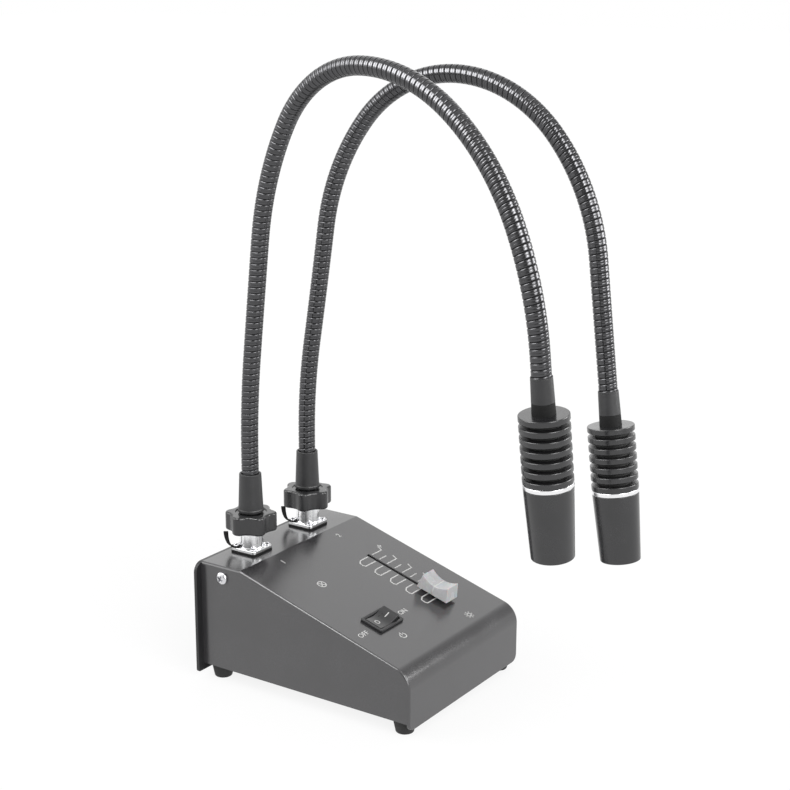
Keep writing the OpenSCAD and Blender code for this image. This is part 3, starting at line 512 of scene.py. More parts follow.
# Screws
# Pan-head steel screws with a cross recess: chromed ones at the sides and on the socket flanges, plain ones
# at the rear, in the feet and on the board. All are copies of one screw of diameter 1, turned to their hole.
screw_chrome = grained(
    "screw chrome", (0.62, 0.62, 0.64), (0.78, 0.78, 0.8), (0.14, 0.3), 2600, 12, 400, Metallic=1)
screw_steel = grained(
    "screw steel", (0.3, 0.3, 0.31), (0.46, 0.46, 0.47), (0.28, 0.44), 2600, 12, 400, Metallic=1)


def turned(profile, sides=48):
    """Rings of a turned piece from its profile of radius and height."""
    turns = [2 * pi * i / sides for i in range(sides)]
    return [[(r * cos(a), r * sin(a), z) for a in turns] for r, z in profile]


def rounded(corners, steps=4):
    """A profile from corners of radius and height, rounded where they say a fillet too."""
    out = []
    for i, (r, z, *fillet) in enumerate(corners):
        if not fillet:
            out.append((r, z))
            continue
        p, fillet = Vector((r, z)), fillet[0]
        a = (Vector(corners[i - 1][:2]) - p).normalized()
        b = (Vector(corners[i + 1][:2]) - p).normalized()
        half = a.angle(b) / 2
        centre = p + (a + b).normalized() * fillet / sin(half)
        start, end = p + a * fillet / tan(half) - centre, p + b * fillet / tan(half) - centre
        for k in range(steps + 1):
            q = centre + start.slerp(end, k / steps).normalized() * fillet
            out.append((q.x, q.y))
    return out


def lathe(corners, sides=48, closed=False, bm=None):
    """A turned mesh from its profile's corners."""
    return loft(turned(rounded(corners), sides), closed, bm)


def cross(reach, half, z):
    """Outline of a screw's cross recess."""
    arm, out = [(half, half), (half, reach), (-half, reach)], []
    for _ in range(4):
        out += [(x, y, z) for x, y in arm]
        arm = [(-y, x) for x, y in arm]
    return out


# Geometry Nodes: copies of one piece at given places, turned and sized by what each place says
tree, given, result = new_group(
    "copies on places", "GeometryNodeTree",
    {"Geometry": "Geometry", "Copy": "Object", "Size": "Float", "Material": "Material"},
    {"Geometry": "Geometry"})
turn = add(tree, "GeometryNodeInputNamedAttribute", {"Name": "turn"}, data_type="FLOAT_VECTOR")
one = add(tree, "GeometryNodeObjectInfo", {"Object": given["Copy"]})
copies = add(tree, "GeometryNodeInstanceOnPoints", {
    "Points": given["Geometry"], "Instance": one["Geometry"],
    "Rotation": turn["Attribute"], "Scale": given["Size"]})
end_painted(tree, copies[0], given, result)
copies_on_places = tree


def copies_at(name, copy, places, size, material):
    """One piece of copies: places in millimetres, each with the way it faces and its turn about that way."""
    mesh = bpy.data.meshes.new(name)
    mesh.from_pydata([p for p, facing, spin in places], [], [])
    turns = mesh.attributes.new("turn", "FLOAT_VECTOR", "POINT")
    for item, (p, facing, spin) in zip(turns.data, places):
        upright = Vector(facing).to_track_quat("Z", "Y").to_matrix()
        item.vector = (upright @ Matrix.Rotation(spin, 3, "Z")).to_euler()
    piece = grown(put(name, mesh), copies_on_places, BASE, {
        "Copy": copy, "Size": float(size), "Material": material})
    piece.data.set_sharp_from_angle(angle=radians(35))
    return piece


shank = [(0.22, -0.45), (0.27, -0.4), (0.27, 0), (0.47, 0), (0.5, 0.03)]
pan = [(0.5 * cos(a), 0.12 + 0.22 * sin(a)) for a in quarter(8)[:-1]]
screw = drawn("screw", lathe(shank + pan + [(0.02, 0.34)], 40))
driver = drawn("driver", loft([cross(0.2, 0.05, 0.12), cross(0.32, 0.085, 0.5)]))
cut_by(screw, driver)
worked(screw)
bpy.data.objects.remove(driver)

corners = [(sx, sy) for sx in SIDES for sy in SIDES]
flange_top, flange_hole, strap_corner, strap_lift = 74, 6.5, (-1, 1), 0.6
foot_x, foot_y, foot_hole_z = 49.5, 63.5, 6.3
side_screw_y, side_screw_z, rear_screw_x, rear_screw_z = 55.8, 64.3, 38, 16
board_y, board_z, board_hole_x, board_hole_y = 6, 17.6, 27, 19
flange_places = []
for side in SIDES:
    for sx, sy in corners:
        z = flange_top + (strap_lift if (sx, sy) == strap_corner else 0)
        at = (side * socket_x + sx * flange_hole, socket_y + sy * flange_hole, z)
        flange_places.append((at, (0, 0, 1), 0.4 * sx + 0.7 * sy + side))
screw_groups = (
    ("side_screw_pair", "side_screws", 7.4, screw_chrome, "screw_chrome",
     [((side * cover_w / 2, side_screw_y, side_screw_z), (side, 0, 0), 0.5 * side) for side in SIDES]),
    ("rear_screw_pair", "rear_screws", 5.6, screw_steel, "screw_steel",
     [((side * rear_screw_x, rear_y + plate_t, rear_screw_z), (0, 1, 0), 0.3 + side) for side in SIDES]),
    ("flange_screw_set", "flange_screws", 3.6, screw_chrome, "screw_chrome", flange_places),
    ("foot_screw_set", "foot_screws", 5.6, screw_steel, "screw_steel",
     [((sx * foot_x, sy * foot_y, foot_hole_z), (0, 0, -1), 0.6 * sx + sy) for sx, sy in corners]),
    ("board_screw_set", "board_screws", 4.6, screw_steel, "screw_steel",
     [((sx * board_hole_x, board_y + sy * board_hole_y, board_z), (0, 0, 1), 0.2 * sx + sy)
      for sx, sy in corners]),
)
for name, node, diameter, material, slot, places in screw_groups:
    fixed(copies_at(name, screw, places, diameter, material), "base", slot, node)
bpy.data.objects.remove(screw)

# Feet
# Four tapered rubber feet, moulded with rounded edges and a deep hole for their screw.
foot_rubber = grained(
    "foot rubber", (0.012, 0.012, 0.012), (0.024, 0.024, 0.024), (0.6, 0.8), 1800, 40, 120)
foot = drawn("foot", lathe([(3.1, foot_hole_z), (3.1, 0, 0.5), (5, 0, 0.9), (6.75, 8.5, 0.4), (1, 8.5)]))
foot_places = [((sx * foot_x, sy * foot_y, 0), (0, 0, 1), 0.3) for sx, sy in corners]
fixed(copies_at("rubber_feet", foot, foot_places, 1, foot_rubber), "base", "foot_rubber", "feet")
bpy.data.objects.remove(foot)

# Driver board
# Glass-fibre board in green mask with copper tracks under it, on brass standoffs, with its coil,
# capacitors and terminal blocks.
board_green = grained(
    "board green", (0.006, 0.05, 0.02), (0.012, 0.09, 0.035), (0.3, 0.42), 900, 20, 300)
tree = board_green.node_tree
tracks = add(tree, "ShaderNodeTexBrick", {
    "Vector": add(tree, "ShaderNodeTexCoord")["Object"], "Scale": 120, "Mortar Size": 0.03,
    "Color1": (0.008, 0.06, 0.024, 1), "Color2": (0.01, 0.075, 0.03, 1), "Mortar": (0.03, 0.16, 0.06, 1)})
tree.links.new(tracks["Color"], tree.nodes["Principled BSDF"].inputs["Base Color"])
component_grey = grained(
    "component plastic", (0.05, 0.055, 0.06), (0.085, 0.09, 0.1), (0.35, 0.55), 1500, 20, 220)
standoff_brass = grained(
    "brass", (0.5, 0.34, 0.12), (0.66, 0.47, 0.2), (0.22, 0.4), 2200, 10, 300, Metallic=1)
dressed(board_green, "driver_board")
dressed(component_grey, "driver_parts")
dressed(standoff_brass, "standoffs")

# Rocker switch
# Snap-in switch: a black moulded frame with a bezel, and a rocker with a hollowed top that tips on its pin.
# It rests with its left side pressed in; its two signs are filled with white.
switch_black = grained(
    "switch frame", (0.014, 0.014, 0.015), (0.024, 0.024, 0.026), (0.36, 0.5), 2000, 20, 160)
rocker_black = grained("rocker", (0.03, 0.03, 0.031), (0.042, 0.042, 0.044), (0.26, 0.36), 2600, 10, 160)
switch_place = on_panel(switch_x, switch_s)
bezel_low, bezel_high, body_low, cell_low, lead_in = 0.02, 1.6, -12, -10, 0.35
body_outline, cell_outline = rounded_outline(20.2, 13.2, 0.6), rounded_outline(19, 11.4, 0.7)
rings = [[(*p, z) for p in body_outline] for z in (body_low, bezel_low)]
rings += slab_rings(rounded_outline(22, 15, 1.1), bezel_low, bezel_high, 0.5)
rings.append([(*p, bezel_high) for p in inset(cell_outline, -lead_in)])
rings += [[(*p, z) for p in cell_outline] for z in (bezel_high - lead_in, cell_low)]
fixed(piece_of("switch_bezel", loft(rings), switch_place, switch_black, sharp=50),
      "base", "switch_black", "rocker_frame")


def soft_block(ends, corner, edge):
    """A mesh between two end outlines, rounded at edges sharper than a corner's angle."""
    bm = loft(ends)
    crisp = [e for e in bm.edges if e.calc_face_angle() > radians(corner)]
    bmesh.ops.bevel(bm, geom=crisp, offset=edge, segments=3, profile=0.5, affect="EDGES")
    return bm


rocker_half, rocker_l, rocker_h, rocker_dip, pivot_z, rest_tilt = 8.4, 10.8, 3.2, 2, -2, -10


def rocker_top(x):
    """Height of the rocker's hollowed top above its pin."""
    return rocker_h - rocker_dip * sin(pi / 2 * (1 - abs(x) / rocker_half)) ** 1.1 - pivot_z


side_view = [(x, rocker_top(x)) for x in [rocker_half * (i / 8 - 1) for i in range(17)]]
side_view += [(rocker_half, 1), (4.2, -3), (-4.2, -3), (-rocker_half, 1)]
bm = soft_block([[(x, side * rocker_l / 2, z) for x, z in side_view] for side in SIDES], 40, 0.4)
rocker_place = switch_place @ moved(z=pivot_z) @ spun(rest_tilt, "Y")
fixed(piece_of("rocker_key", bm, rocker_place, rocker_black), "rocker", "rocker_black", "rocker")

sign_x, line_half, line_steps = 4.4, 1.8, 12
bm = bmesh.new()
stroke(bm, circle(-sign_x, 0, 1.4), 0.55, True)
stroke(bm, [(sign_x + line_half * (2 * i / line_steps - 1), 0) for i in range(line_steps + 1)], sign_w)
for v in bm.verts:
    v.co.z += rocker_top(v.co.x)
printed("rocker_signs", bm, rocker_place, "rocker")

# Brightness slider
# Slide control under the panel with a steel blade through the slot. Its cap is milky moulded plastic,
# saddle-shaped for a fingertip, with a white line across that runs down both sides.
slider_steel = grained(
    "slider steel", (0.34, 0.34, 0.35), (0.5, 0.5, 0.51), (0.25, 0.4), 2400, 10, 300, Metallic=1)
dressed(slider_steel, "slider_body", "slider_blade")
cap_grey = grained(
    "milky plastic", (0.5, 0.505, 0.515), (0.62, 0.625, 0.635), (0.2, 0.32), 900, 10, 120,
    Subsurface_Weight=0.35, Subsurface_Scale=0.004)
cap_s, cap_l, cap_w, cap_h, cap_gap, cap_dip, cap_draft, cap_taper = 82, 21.5, 12, 9, 2, 3.2, 1.8, 0.5
crest = cap_l / 2 - cap_draft
saddle = [(crest * (i / 8 - 1), cap_h - cap_dip * (1 - (1 - i / 8) ** 2)) for i in range(17)]
side_view = [(-cap_l / 2, 0)] + saddle + [(cap_l / 2, 0)]
ends = [[(side * (cap_w / 2 - cap_taper * z / cap_h), s, z) for s, z in side_view] for side in SIDES]
cap_place = on_panel(slider_x, cap_s) @ moved(z=cap_gap)
cap = soft_block(ends, 30, 0.45)
fixed(piece_of("slider_knob", cap, cap_place, cap_grey), "slider", "cap_grey", "slider_cap")

line_w, film_t, proud = 0.9, 0.06, 0.03
dip_z = cap_h - cap_dip
half_line = [(cap_w / 2 - 0.75, dip_z + proud), (cap_w / 2 - 0.3, dip_z - 0.4), (cap_w / 2 + proud, 0.5)]
bm = bmesh.new()
rows = [[bm.verts.new((x, y * line_w / 2, z)) for y in SIDES]
        for x, z in [(-x, z) for x, z in reversed(half_line)] + half_line]
for a, b in zip(rows, rows[1:]):
    bm.faces.new((a[0], b[0], b[1], a[1]))
cap_line = piece_of("slider_line", bm, Matrix(), print_white, weighted=False)
film = cap_line.modifiers.new("ink", "SOLIDIFY")
film.thickness, film.offset = film_t, 0
worked(cap_line).data.transform(cap_place)
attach(cap_line, "slider")

# Power inlet
# Round panel socket in the rear plate: a black moulded body with a flange, a bright centre pin, a nut inside.
inlet_black = grained(
    "inlet plastic", (0.012, 0.012, 0.013), (0.02, 0.02, 0.022), (0.3, 0.45), 2000, 20, 200)
inlet_x, inlet_z = -25, 32
inlet_place = BASE @ moved(inlet_x, rear_y + plate_t, inlet_z) @ spun(-90, "X")
shell = lathe([(1, -14), (4, -14, 0.3), (4, 0), (5.5, 0), (5.5, 2, 0.5), (2.85, 2, 0.35),
               (2.85, -7), (0.7, -7)], 56)
fixed(piece_of("inlet_shell", shell, inlet_place, inlet_black), "base", "switch_black", "inlet_body")
pin = lathe([(0.2, -13.9), (0.6, -13.9, 0.1), (0.6, -7), (1.05, -7), (1.05, 2, 0.4), (0.1, 2)], 32)
fixed(piece_of("inlet_contact", pin, inlet_place, screw_chrome), "base", "screw_chrome", "inlet_pin")
dressed(screw_steel, "inlet_nut")

# Sockets
# Two chromed sockets: a square flange with rounded corners on a thin rubber gasket, screwed down at four
# corners, and a smooth turned barrel. A black strap from one flange screw rises to below the knob.
socket_chrome = grained(
    "socket chrome", (0.86, 0.865, 0.875), (0.93, 0.935, 0.945), (0.14, 0.26), 2200, 6, 180, Metallic=1)
gasket_rubber = grained(
    "gasket rubber", (0.008, 0.008, 0.008), (0.016, 0.016, 0.016), (0.6, 0.75), 1500, 30, 200,
    Specular_IOR_Level=0.2)
contact_plastic = grained(
    "contact plastic", (0.03, 0.03, 0.032), (0.05, 0.05, 0.053), (0.4, 0.55), 2000, 20, 200)

# Fine rings left by the lathe, which follow a turned piece's own run
lathe_lines, given, result = new_group("lathe lines", "ShaderNodeTree", {"Lines": "Float"}, {"Line": "Float"})
own_run = add(lathe_lines, "ShaderNodeUVMap", uv_map="run")[0]
run = add(lathe_lines, "ShaderNodeSeparateXYZ", {0: own_run})["Y"]
rings = add(lathe_lines, "ShaderNodeTexNoise", {
    "W": number(lathe_lines, "MULTIPLY", run, given["Lines"]), "Scale": 1, "Detail": 2},
    noise_dimensions="1D")
lathe_lines.links.new(rings[0], result.inputs["Line"])


def lathed(material, lines, depth):
    """Adds the lathe's rings, so many micrometres deep, to a finish."""
    tree = material.node_tree
    normal = tree.nodes["Principled BSDF"].inputs["Normal"]
    group = add(tree, "ShaderNodeGroup", {"Lines": lines}, node_tree=lathe_lines)
    bump = add(tree, "ShaderNodeBump", {
        "Height": group["Line"], "Strength": 0.4, "Distance": depth * 1e-6,
        "Normal": normal.links[0].from_socket})
    tree.links.new(bump["Normal"], normal)
    return material


lathed(socket_chrome, 3, 12)
socket_places = {name: BASE @ moved(side * socket_x, socket_y) for name, side in (("left", -1), ("right", 1))}
flange_low, flange_w, gasket_w = 72, 17.2, 17.8
flange_outline = rounded_outline(flange_w, flange_w, 1.6)
barrel = [(7.5, 73.5), (7, 74.6, 0.4), (7, 88.9, 0.3), (5.2, 88.9, 0.2), (5.2, 76)]
for side, place in socket_places.items():
    bm = loft(slab_rings(flange_outline, flange_low, flange_top, 0.4))
    lathe(barrel, 72, bm=bm)
    fixed(piece_of(side + "_socket_shell", bm, place, socket_chrome),
          "base", "socket_chrome", side + "_socket")
bm = bmesh.new()
for side in SIDES:
    gasket = [(x + side * socket_x, y + socket_y) for x, y in rounded_outline(gasket_w, gasket_w, 1.8)]
    loft(slab_rings(gasket, top_z, flange_low, 0.2, 2), bm=bm)
fixed(piece_of("flange_gaskets", bm, BASE, gasket_rubber), "base", "gasket_rubber", "socket_gaskets")
dressed(contact_plastic, "socket_inserts", "left_plug", "right_plug")

# Straps: a ring under one flange screw, and a flat strip that rises to the knob with a twist
strap_w, strap_t, strap_twist = 2.8, 0.8, 75
out_way, strap_side = Vector((-1, 1, 0)).normalized(), Vector((1, 1, 0)).normalized()
strap_line = [(9.6, 74.35), (11.2, 74.5), (12.5, 75.2), (13.5, 76.6), (14.1, 78.4), (14.5, 80.2), (14.7, 82),
              (14.8, 83.6)]
strap_section = rounded_outline(strap_t, strap_w, 0.35, 3)
eyelet = rounded([(1.2, 74.02), (2.9, 74.02, 0.2), (2.9, 74.58, 0.2), (1.2, 74.58)])
bm = bmesh.new()
for side in SIDES:
    at = Vector((side * socket_x, socket_y, 0))
    path = [at + out_way * r + Vector((0, 0, z)) for r, z in strap_line]
    last = len(path) - 1
    rings = []
    for i, p in enumerate(path):
        along = (path[min(i + 1, last)] - path[max(i - 1, 0)]).normalized()
        twist = Matrix.Rotation(radians(strap_twist) * i / last, 3, along)
        wide, thick = twist @ strap_side, twist @ along.cross(strap_side)
        rings.append([p + thick * x + wide * y for x, y in strap_section])
    loft(rings, bm=bm)
    hole = at + Vector((-flange_hole, flange_hole, 0))
    loft([[hole + Vector(p) for p in ring] for ring in turned(eyelet, 32)], True, bm)
fixed(piece_of("flange_straps", bm, BASE, gasket_rubber), "base", "gasket_rubber", "socket_straps")

# Coupling knobs
# Six-lobed knobs moulded in black plastic with rounded edges, turning on the plug to lock it in the socket.
knob_black = grained(
    "knob plastic", (0.018, 0.018, 0.019), (0.028, 0.028, 0.03), (0.17, 0.25), 1700, 12, 110,
    worn_and_lit=(0.0006, (0.05, 0.05, 0.052)), Specular_IOR_Level=0.6)
knob_low, knob_top, knob_edge = 84, 95, 1.3
lobe_at, lobe_r, core_r, knob_points = 10.8, 4.2, 12.3, 240
knob_set = {"left": 0, "right": 26}
turns = [2 * pi * i / knob_points for i in range(knob_points)]
reach = []
for turn in turns:
    off = (turn + pi / 6) % (pi / 3) - pi / 6
    across = lobe_at * sin(off)
    lobe = lobe_at * cos(off) + sqrt(lobe_r ** 2 - across ** 2) if abs(across) < lobe_r else 0
    reach.append(max(core_r, lobe))
reach = [sum(reach[(i + k) % knob_points] for k in range(-4, 5)) / 9 for i in range(knob_points)]
lobes = [(r * cos(a), r * sin(a)) for r, a in zip(reach, turns)]
bore = [(9.2, knob_top), (8.9, knob_top - 0.6), (5.2, knob_top - 0.6), (5.2, knob_top - 4),
        (7.4, knob_top - 4), (7.4, knob_low)]
rings = slab_rings(lobes, knob_low, knob_top, knob_edge, 6) + turned(bore, knob_points)
for side, place in socket_places.items():
    knob = piece_of(side + "_coupling", loft(rings, True), place @ spun(knob_set[side], "Z"), knob_black)
    fixed(knob, side + "_knob", "knob_black", side + "_knob")

# Neck sleeves
# Tapered sleeves of black rubbery plastic over the plug's stud, with a bead at the foot and a collar at the
# top that the gooseneck runs into.
sleeve_black = grained(
    "sleeve plastic", (0.022, 0.022, 0.023), (0.033, 0.033, 0.035), (0.4, 0.52), 1500, 30, 110)
sleeve_low, sleeve_top = 95.3, 118.3
sleeve = [
    (5.2, sleeve_low), (7.5, sleeve_low, 0.4), (7.5, sleeve_low + 1.4, 0.3), (7.2, sleeve_low + 2, 0.3),
    (6.35, sleeve_top, 0.5), (5.3, sleeve_top, 0.2), (5.3, sleeve_top - 3.6), (3, sleeve_top - 3.6)]
for side, place in socket_places.items():
    made = piece_of(side + "_neck_sleeve", lathe(sleeve), place, sleeve_black)
    fixed(made, "base", "sleeve_black", side + "_sleeve")

# Goosenecks
# Flexible necks wound from black-plated flat steel wire, so that wide ribs show with a narrow groove between.
# Each is one run, cut at the middle of its bending lengths.
neck_black = grained(
    "black plating", (0.08, 0.08, 0.083), (0.108, 0.108, 0.112), (0.1, 0.18), 1800, 4, 140, Metallic=1)


def shade_painted_in_grooves(material):
    """Paints shade into a finish: black and dull where its mesh has a groove."""
    tree = material.node_tree
    shader = tree.nodes["Principled BSDF"].inputs
    groove = add(tree, "ShaderNodeAttribute", attribute_name="groove")["Fac"]
    colour, rough = shader["Base Color"].links[0].from_socket, shader["Roughness"].links[0].from_socket
    tree.links.new(mixed(tree, groove, colour, (0.003, 0.003, 0.003, 1)), shader["Base Color"])
    tree.links.new(number(tree, "MULTIPLY_ADD", groove, 0.5, rough, use_clamp=True), shader["Roughness"])


# Painted shade: the grooves between the neck's ribs, and the fine line on each rib, are darkened to black.
shade_painted_in_grooves(neck_black)

# Geometry Nodes: a hose along a line, with a flat rib wound round it at a pitch and a fine line on the rib
ribs, given, result = new_group(
    "ribbed hose", "GeometryNodeTree",
    {"Line": "Geometry", "Radius": "Float", "Groove Depth": "Float", "Pitch": "Float",
     "Rings Per Rib": "Float", "Sides": "Int", "Start": "Float", "Across": "Vector",
     "Material": "Material"}, {"Geometry": "Geometry"})


def kept(geometry, name, kind, value):
    """Keeps a value on the hose's points under a name, and gives it back for later."""
    store = add(ribs, "GeometryNodeStoreNamedAttribute", {
        "Geometry": geometry, "Name": name, "Value": value}, data_type=kind, domain="POINT")
    read = add(ribs, "GeometryNodeInputNamedAttribute", {"Name": name}, data_type=kind)
    return store[0], read["Attribute"]


where = add(ribs, "GeometryNodeInputPosition")[0]
curve = add(ribs, "GeometryNodeMeshToCurve", {0: given["Line"]})[0]
spacing = number(ribs, "DIVIDE", given["Pitch"], given["Rings Per Rib"])
curve = add(ribs, "GeometryNodeResampleCurve", {"Curve": curve, "Length": spacing}, mode="LENGTH")[0]
curve, centre = kept(curve, "centre", "FLOAT_VECTOR", where)
curve, along = kept(curve, "along", "FLOAT_VECTOR", add(ribs, "GeometryNodeInputTangent")[0])
curve, gone = kept(curve, "gone", "FLOAT", add(ribs, "GeometryNodeSplineParameter")["Length"])
section = add(ribs, "GeometryNodeCurvePrimitiveCircle", {
    "Resolution": given["Sides"], "Radius": given["Radius"]}, mode="RADIUS")[0]
tube = add(ribs, "GeometryNodeCurveToMesh", {"Curve": curve, "Profile Curve": section})[0]
outward = vector(ribs, "NORMALIZE", vector(ribs, "SUBTRACT", where, centre))
upward = vector(ribs, "CROSS_PRODUCT", along, given["Across"])
angle = number(ribs, "ARCTAN2", vector(ribs, "DOT_PRODUCT", outward, upward, out="Value"),
               vector(ribs, "DOT_PRODUCT", outward, given["Across"], out="Value"))
wound = number(ribs, "DIVIDE", number(ribs, "ADD", gone, given["Start"]), given["Pitch"])
phase = number(ribs, "SUBTRACT", wound, number(ribs, "DIVIDE", angle, 2 * pi))
from_crown = number(ribs, "ABSOLUTE", number(ribs, "SUBTRACT", number(ribs, "FRACT", phase), 0.5))
between_ribs = ramp(ribs, from_crown, 0.36, 0.48, 0, 0.9, smooth=True)
on_crown = ramp(ribs, from_crown, 0.06, 0, 0, 0.3, smooth=True)
# The groove value sinks the surface, and also marks where the finish gets painted shade.
tube, groove = kept(tube, "groove", "FLOAT", number(ribs, "MAXIMUM", between_ribs, on_crown))
sunk = number(ribs, "SUBTRACT", given["Radius"], number(ribs, "MULTIPLY", groove, given["Groove Depth"]))
surface = vector(ribs, "ADD", centre, vector(ribs, "SCALE", outward, Scale=sunk))
tube = add(ribs, "GeometryNodeSetPosition", {"Geometry": tube, "Position": surface})[0]
tube = add(ribs, "GeometryNodeSetShadeSmooth", {"Geometry": tube})[0]
for name in ("centre", "along", "gone"):
    tube = add(ribs, "GeometryNodeRemoveAttribute", {"Geometry": tube, "Name": name})[0]
end_painted(ribs, tube, given, result)

# Each neck: lengths that bend by so many degrees, its heading from straight ahead and the last length's twist
neck_z, length, lengths, straight = 118.6, 68.8, 7, 10
bends = {"left": (7.5, 0.5, 24.5, 55, 36.5, 30.5, 25), "right": (9.5, -1, 31, 51.5, 48, 34, 0)}
headings, twists = {"left": -13, "right": -1}, {"left": 14.5, "right": 0}
into_sleeve, into_head, line_step, stiff_end = 2.8, 3, 0.8, 4


def neck_place(side, run):
    """Frame on a neck after this run: z along it, x across it."""
    place = socket_places[side] @ spun(headings[side], "Z") @ moved(z=neck_z)
    for k, bend in enumerate(bends[side]):
        last = k == lengths - 1
        lead = straight if k == 0 else 0
        arc = length - lead - (straight if last else 0)
        step = run - k * length if last else min(run - k * length, length)
        on = min(max(step - lead, 0), arc)
        turn = radians(bend) * on / arc
        chord = on * sin(turn / 2) / (turn / 2) if abs(turn) > 1e-6 else on
        if last:
            place = place @ spun(twists[side], "Z")
        place = place @ moved(0, -chord * sin(turn / 2), min(step, lead) + chord * cos(turn / 2))
        place = place @ Matrix.Rotation(turn, 4, "X") @ moved(z=max(step - lead - arc, 0))
        if run <= (k + 1) * length:
            break
    return place


for side in socket_places:
    cuts = [-into_sleeve] + [length * (k + 0.5) for k in range(lengths)] + [length * lengths + into_head]
    across = Matrix.Rotation(radians(headings[side]), 3, "Z") @ Vector((1, 0, 0))
    for k, (start, end) in enumerate(zip(cuts, cuts[1:])):
        steps = ceil((end - start) / line_step)
        runs = [start + (end - start) * i / steps for i in range(steps + 1)]
        points = [BASE.inverted() @ neck_place(side, run).translation for run in runs]
        line = bpy.data.meshes.new("neck line")
        line.from_pydata(points, [(i, i + 1) for i in range(steps)], [])
        hose = grown(put(f"{side}_hose_{k + 1}", line), ribs, BASE, {
            "Radius": 5.0, "Groove Depth": 0.5, "Pitch": 3.4, "Rings Per Rib": 17.0, "Sides": 30,
            "Start": start, "Across": across, "Material": neck_black})
        if k in (0, lengths):
            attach(hose, f"{side}_arm_{max(k, 1)}")
        else:
            inner = [neck_place(side, run).translation for run in (start + stiff_end, end - stiff_end)]
            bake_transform(hose)
        if k < lengths:
            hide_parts(f"{side}_neck_{k + 1}")

# Lamp heads
# A tapered plastic end sleeve, then aluminium, turned and anodised black: a heat sink of seven discs and a
# tapered barrel, with a bright ring between. Inside are the LED on its round board, a lens cone and its ring.
head_black = grained(
    "black anodising", (0.016, 0.016, 0.017), (0.025, 0.025, 0.027), (0.2, 0.28), 1500, 8, 90,
    worn_and_lit=(0.0005, (0.07, 0.07, 0.072)), Specular_IOR_Level=0.7)
# Painted shade in the heat sink's grooves, between its discs.
shade_painted_in_grooves(lathed(head_black, 4, 10))
ring_bright = lathed(grained(
    "bright ring", (0.86, 0.86, 0.87), (0.93, 0.93, 0.94), (0.12, 0.24), 2000, 6, 200, Metallic=1), 6, 10)
led_white = grained(
    "white board mask", (0.66, 0.66, 0.64), (0.76, 0.76, 0.74), (0.35, 0.5), 1200, 10, 400)
led_yellow = grained("phosphor", (0.78, 0.55, 0.06), (0.86, 0.66, 0.12), (0.3, 0.45), 2600, 10, 600)
lens_clear = grained(
    "clear lens", (0.96, 0.97, 0.98), (0.99, 0.99, 1.0), (0.015, 0.04), 500, 4, 120,
    Transmission_Weight=1, IOR=1.49)

# Heights along the head from the neck's end, and each part's finish, sides and profile
collar_at, sink_at, discs, disc_t, disc_pitch, disc_sides = 12.6, 18.5, 7, 3, 5.2, 72
ring_t, barrel_l, led_r, led_h, play = 2.2, 37, 2.45, 2.3, 0.05
ring_at = sink_at + (discs - 1) * disc_pitch + disc_t
front_at = ring_at + ring_t
front_end = front_at + barrel_l
board_at, ledge, lens_face = front_at + 4, front_end - 4.9, front_end - 2.4
board_top, cup, lens_low = board_at + 1.6, board_at + 3.8, board_at + 4.4
dome = [(led_r * cos(a), board_top + led_h * sin(a)) for a in quarter(10)[:-1]]
head_parts = (
    ("end_sleeve", "tail", sleeve_black, "sleeve_black", 48, False,
     [(5.05, 2.5), (5.05, 0, 0.1), (5.4, 0, 0.25), (5.75, collar_at, 0.15), (3, collar_at)]),
    ("trim_ring", "ring", ring_bright, "ring_bright", 72, True,
     [(10, ring_at + play), (12.55, ring_at + play, 0.25), (12.55, front_at - play, 0.25),
      (10, front_at - play)]),
    ("barrel", "front", head_black, "head_black", 72, True,
     [(10.1, cup), (10.1, front_at + play, 0.2), (12.4, front_at + play, 0.3), (10.75, front_end, 0.45),
      (9.1, front_end, 0.35), (9.1, ledge), (8.3, ledge), (8.3, cup)]),
    ("led_board", "led", led_white, "led_yellow", 48, False,
     [(1, board_at + play), (8.5, board_at + play, 0.2), (8.5, board_top, 0.2), (1, board_top)]),
    ("lens_cone", "lens", lens_clear, "lens_clear", 48, False,
     [(0.3, lens_low), (3.4, lens_low, 0.2), (8.1, ledge), (8.95, ledge, 0.1), (8.95, lens_face - 0.15, 0.2),
      (0.3, lens_face - play)]),
    ("lens_ring", "retainer", head_black, "head_black", 48, True,
     [(8.95, lens_face), (8.95, lens_face + 1.4, 0.2), (7.9, lens_face + 1.4, 0.3), (7.9, lens_face)]),
    ("emitter", None, led_yellow, "led_yellow", 32, False,
     [(led_r, board_top - 0.3), *dome, (0.05, board_top + led_h)]),
    ("sleeve_collar", None, gasket_rubber, "sleeve_black", 48, False,
     [(3, collar_at + play), (5.7, collar_at + play, 0.25), (5.9, sink_at), (3, sink_at + 0.1)]),
)
core = [(2, sink_at + 0.3), (8.5, sink_at + 0.3), (8.5, ring_at - 1), (10, ring_at - 1),
        (10, board_at - 0.1, 0.3), (2, board_at - 0.1)]
disc = rounded([(8, 0), (9, 0), (12.5, 0, 0.45), (12.5, disc_t, 0.45), (9, disc_t), (8, disc_t)])
top_disc = [(r, sink_at + z) for r, z in disc[:-2]] + [(5, sink_at + disc_t)]


def painted_groove_shade(bm, full, none):
    """Marks the points for painted shade, as in a groove: fully up to one radius, and not at all from another
    one on.
    """
    groove = bm.verts.layers.float.new("groove")
    for v in bm.verts:
        v[groove] = min(max((none - v.co.xy.length) / (none - full), 0), 1)
    return bm


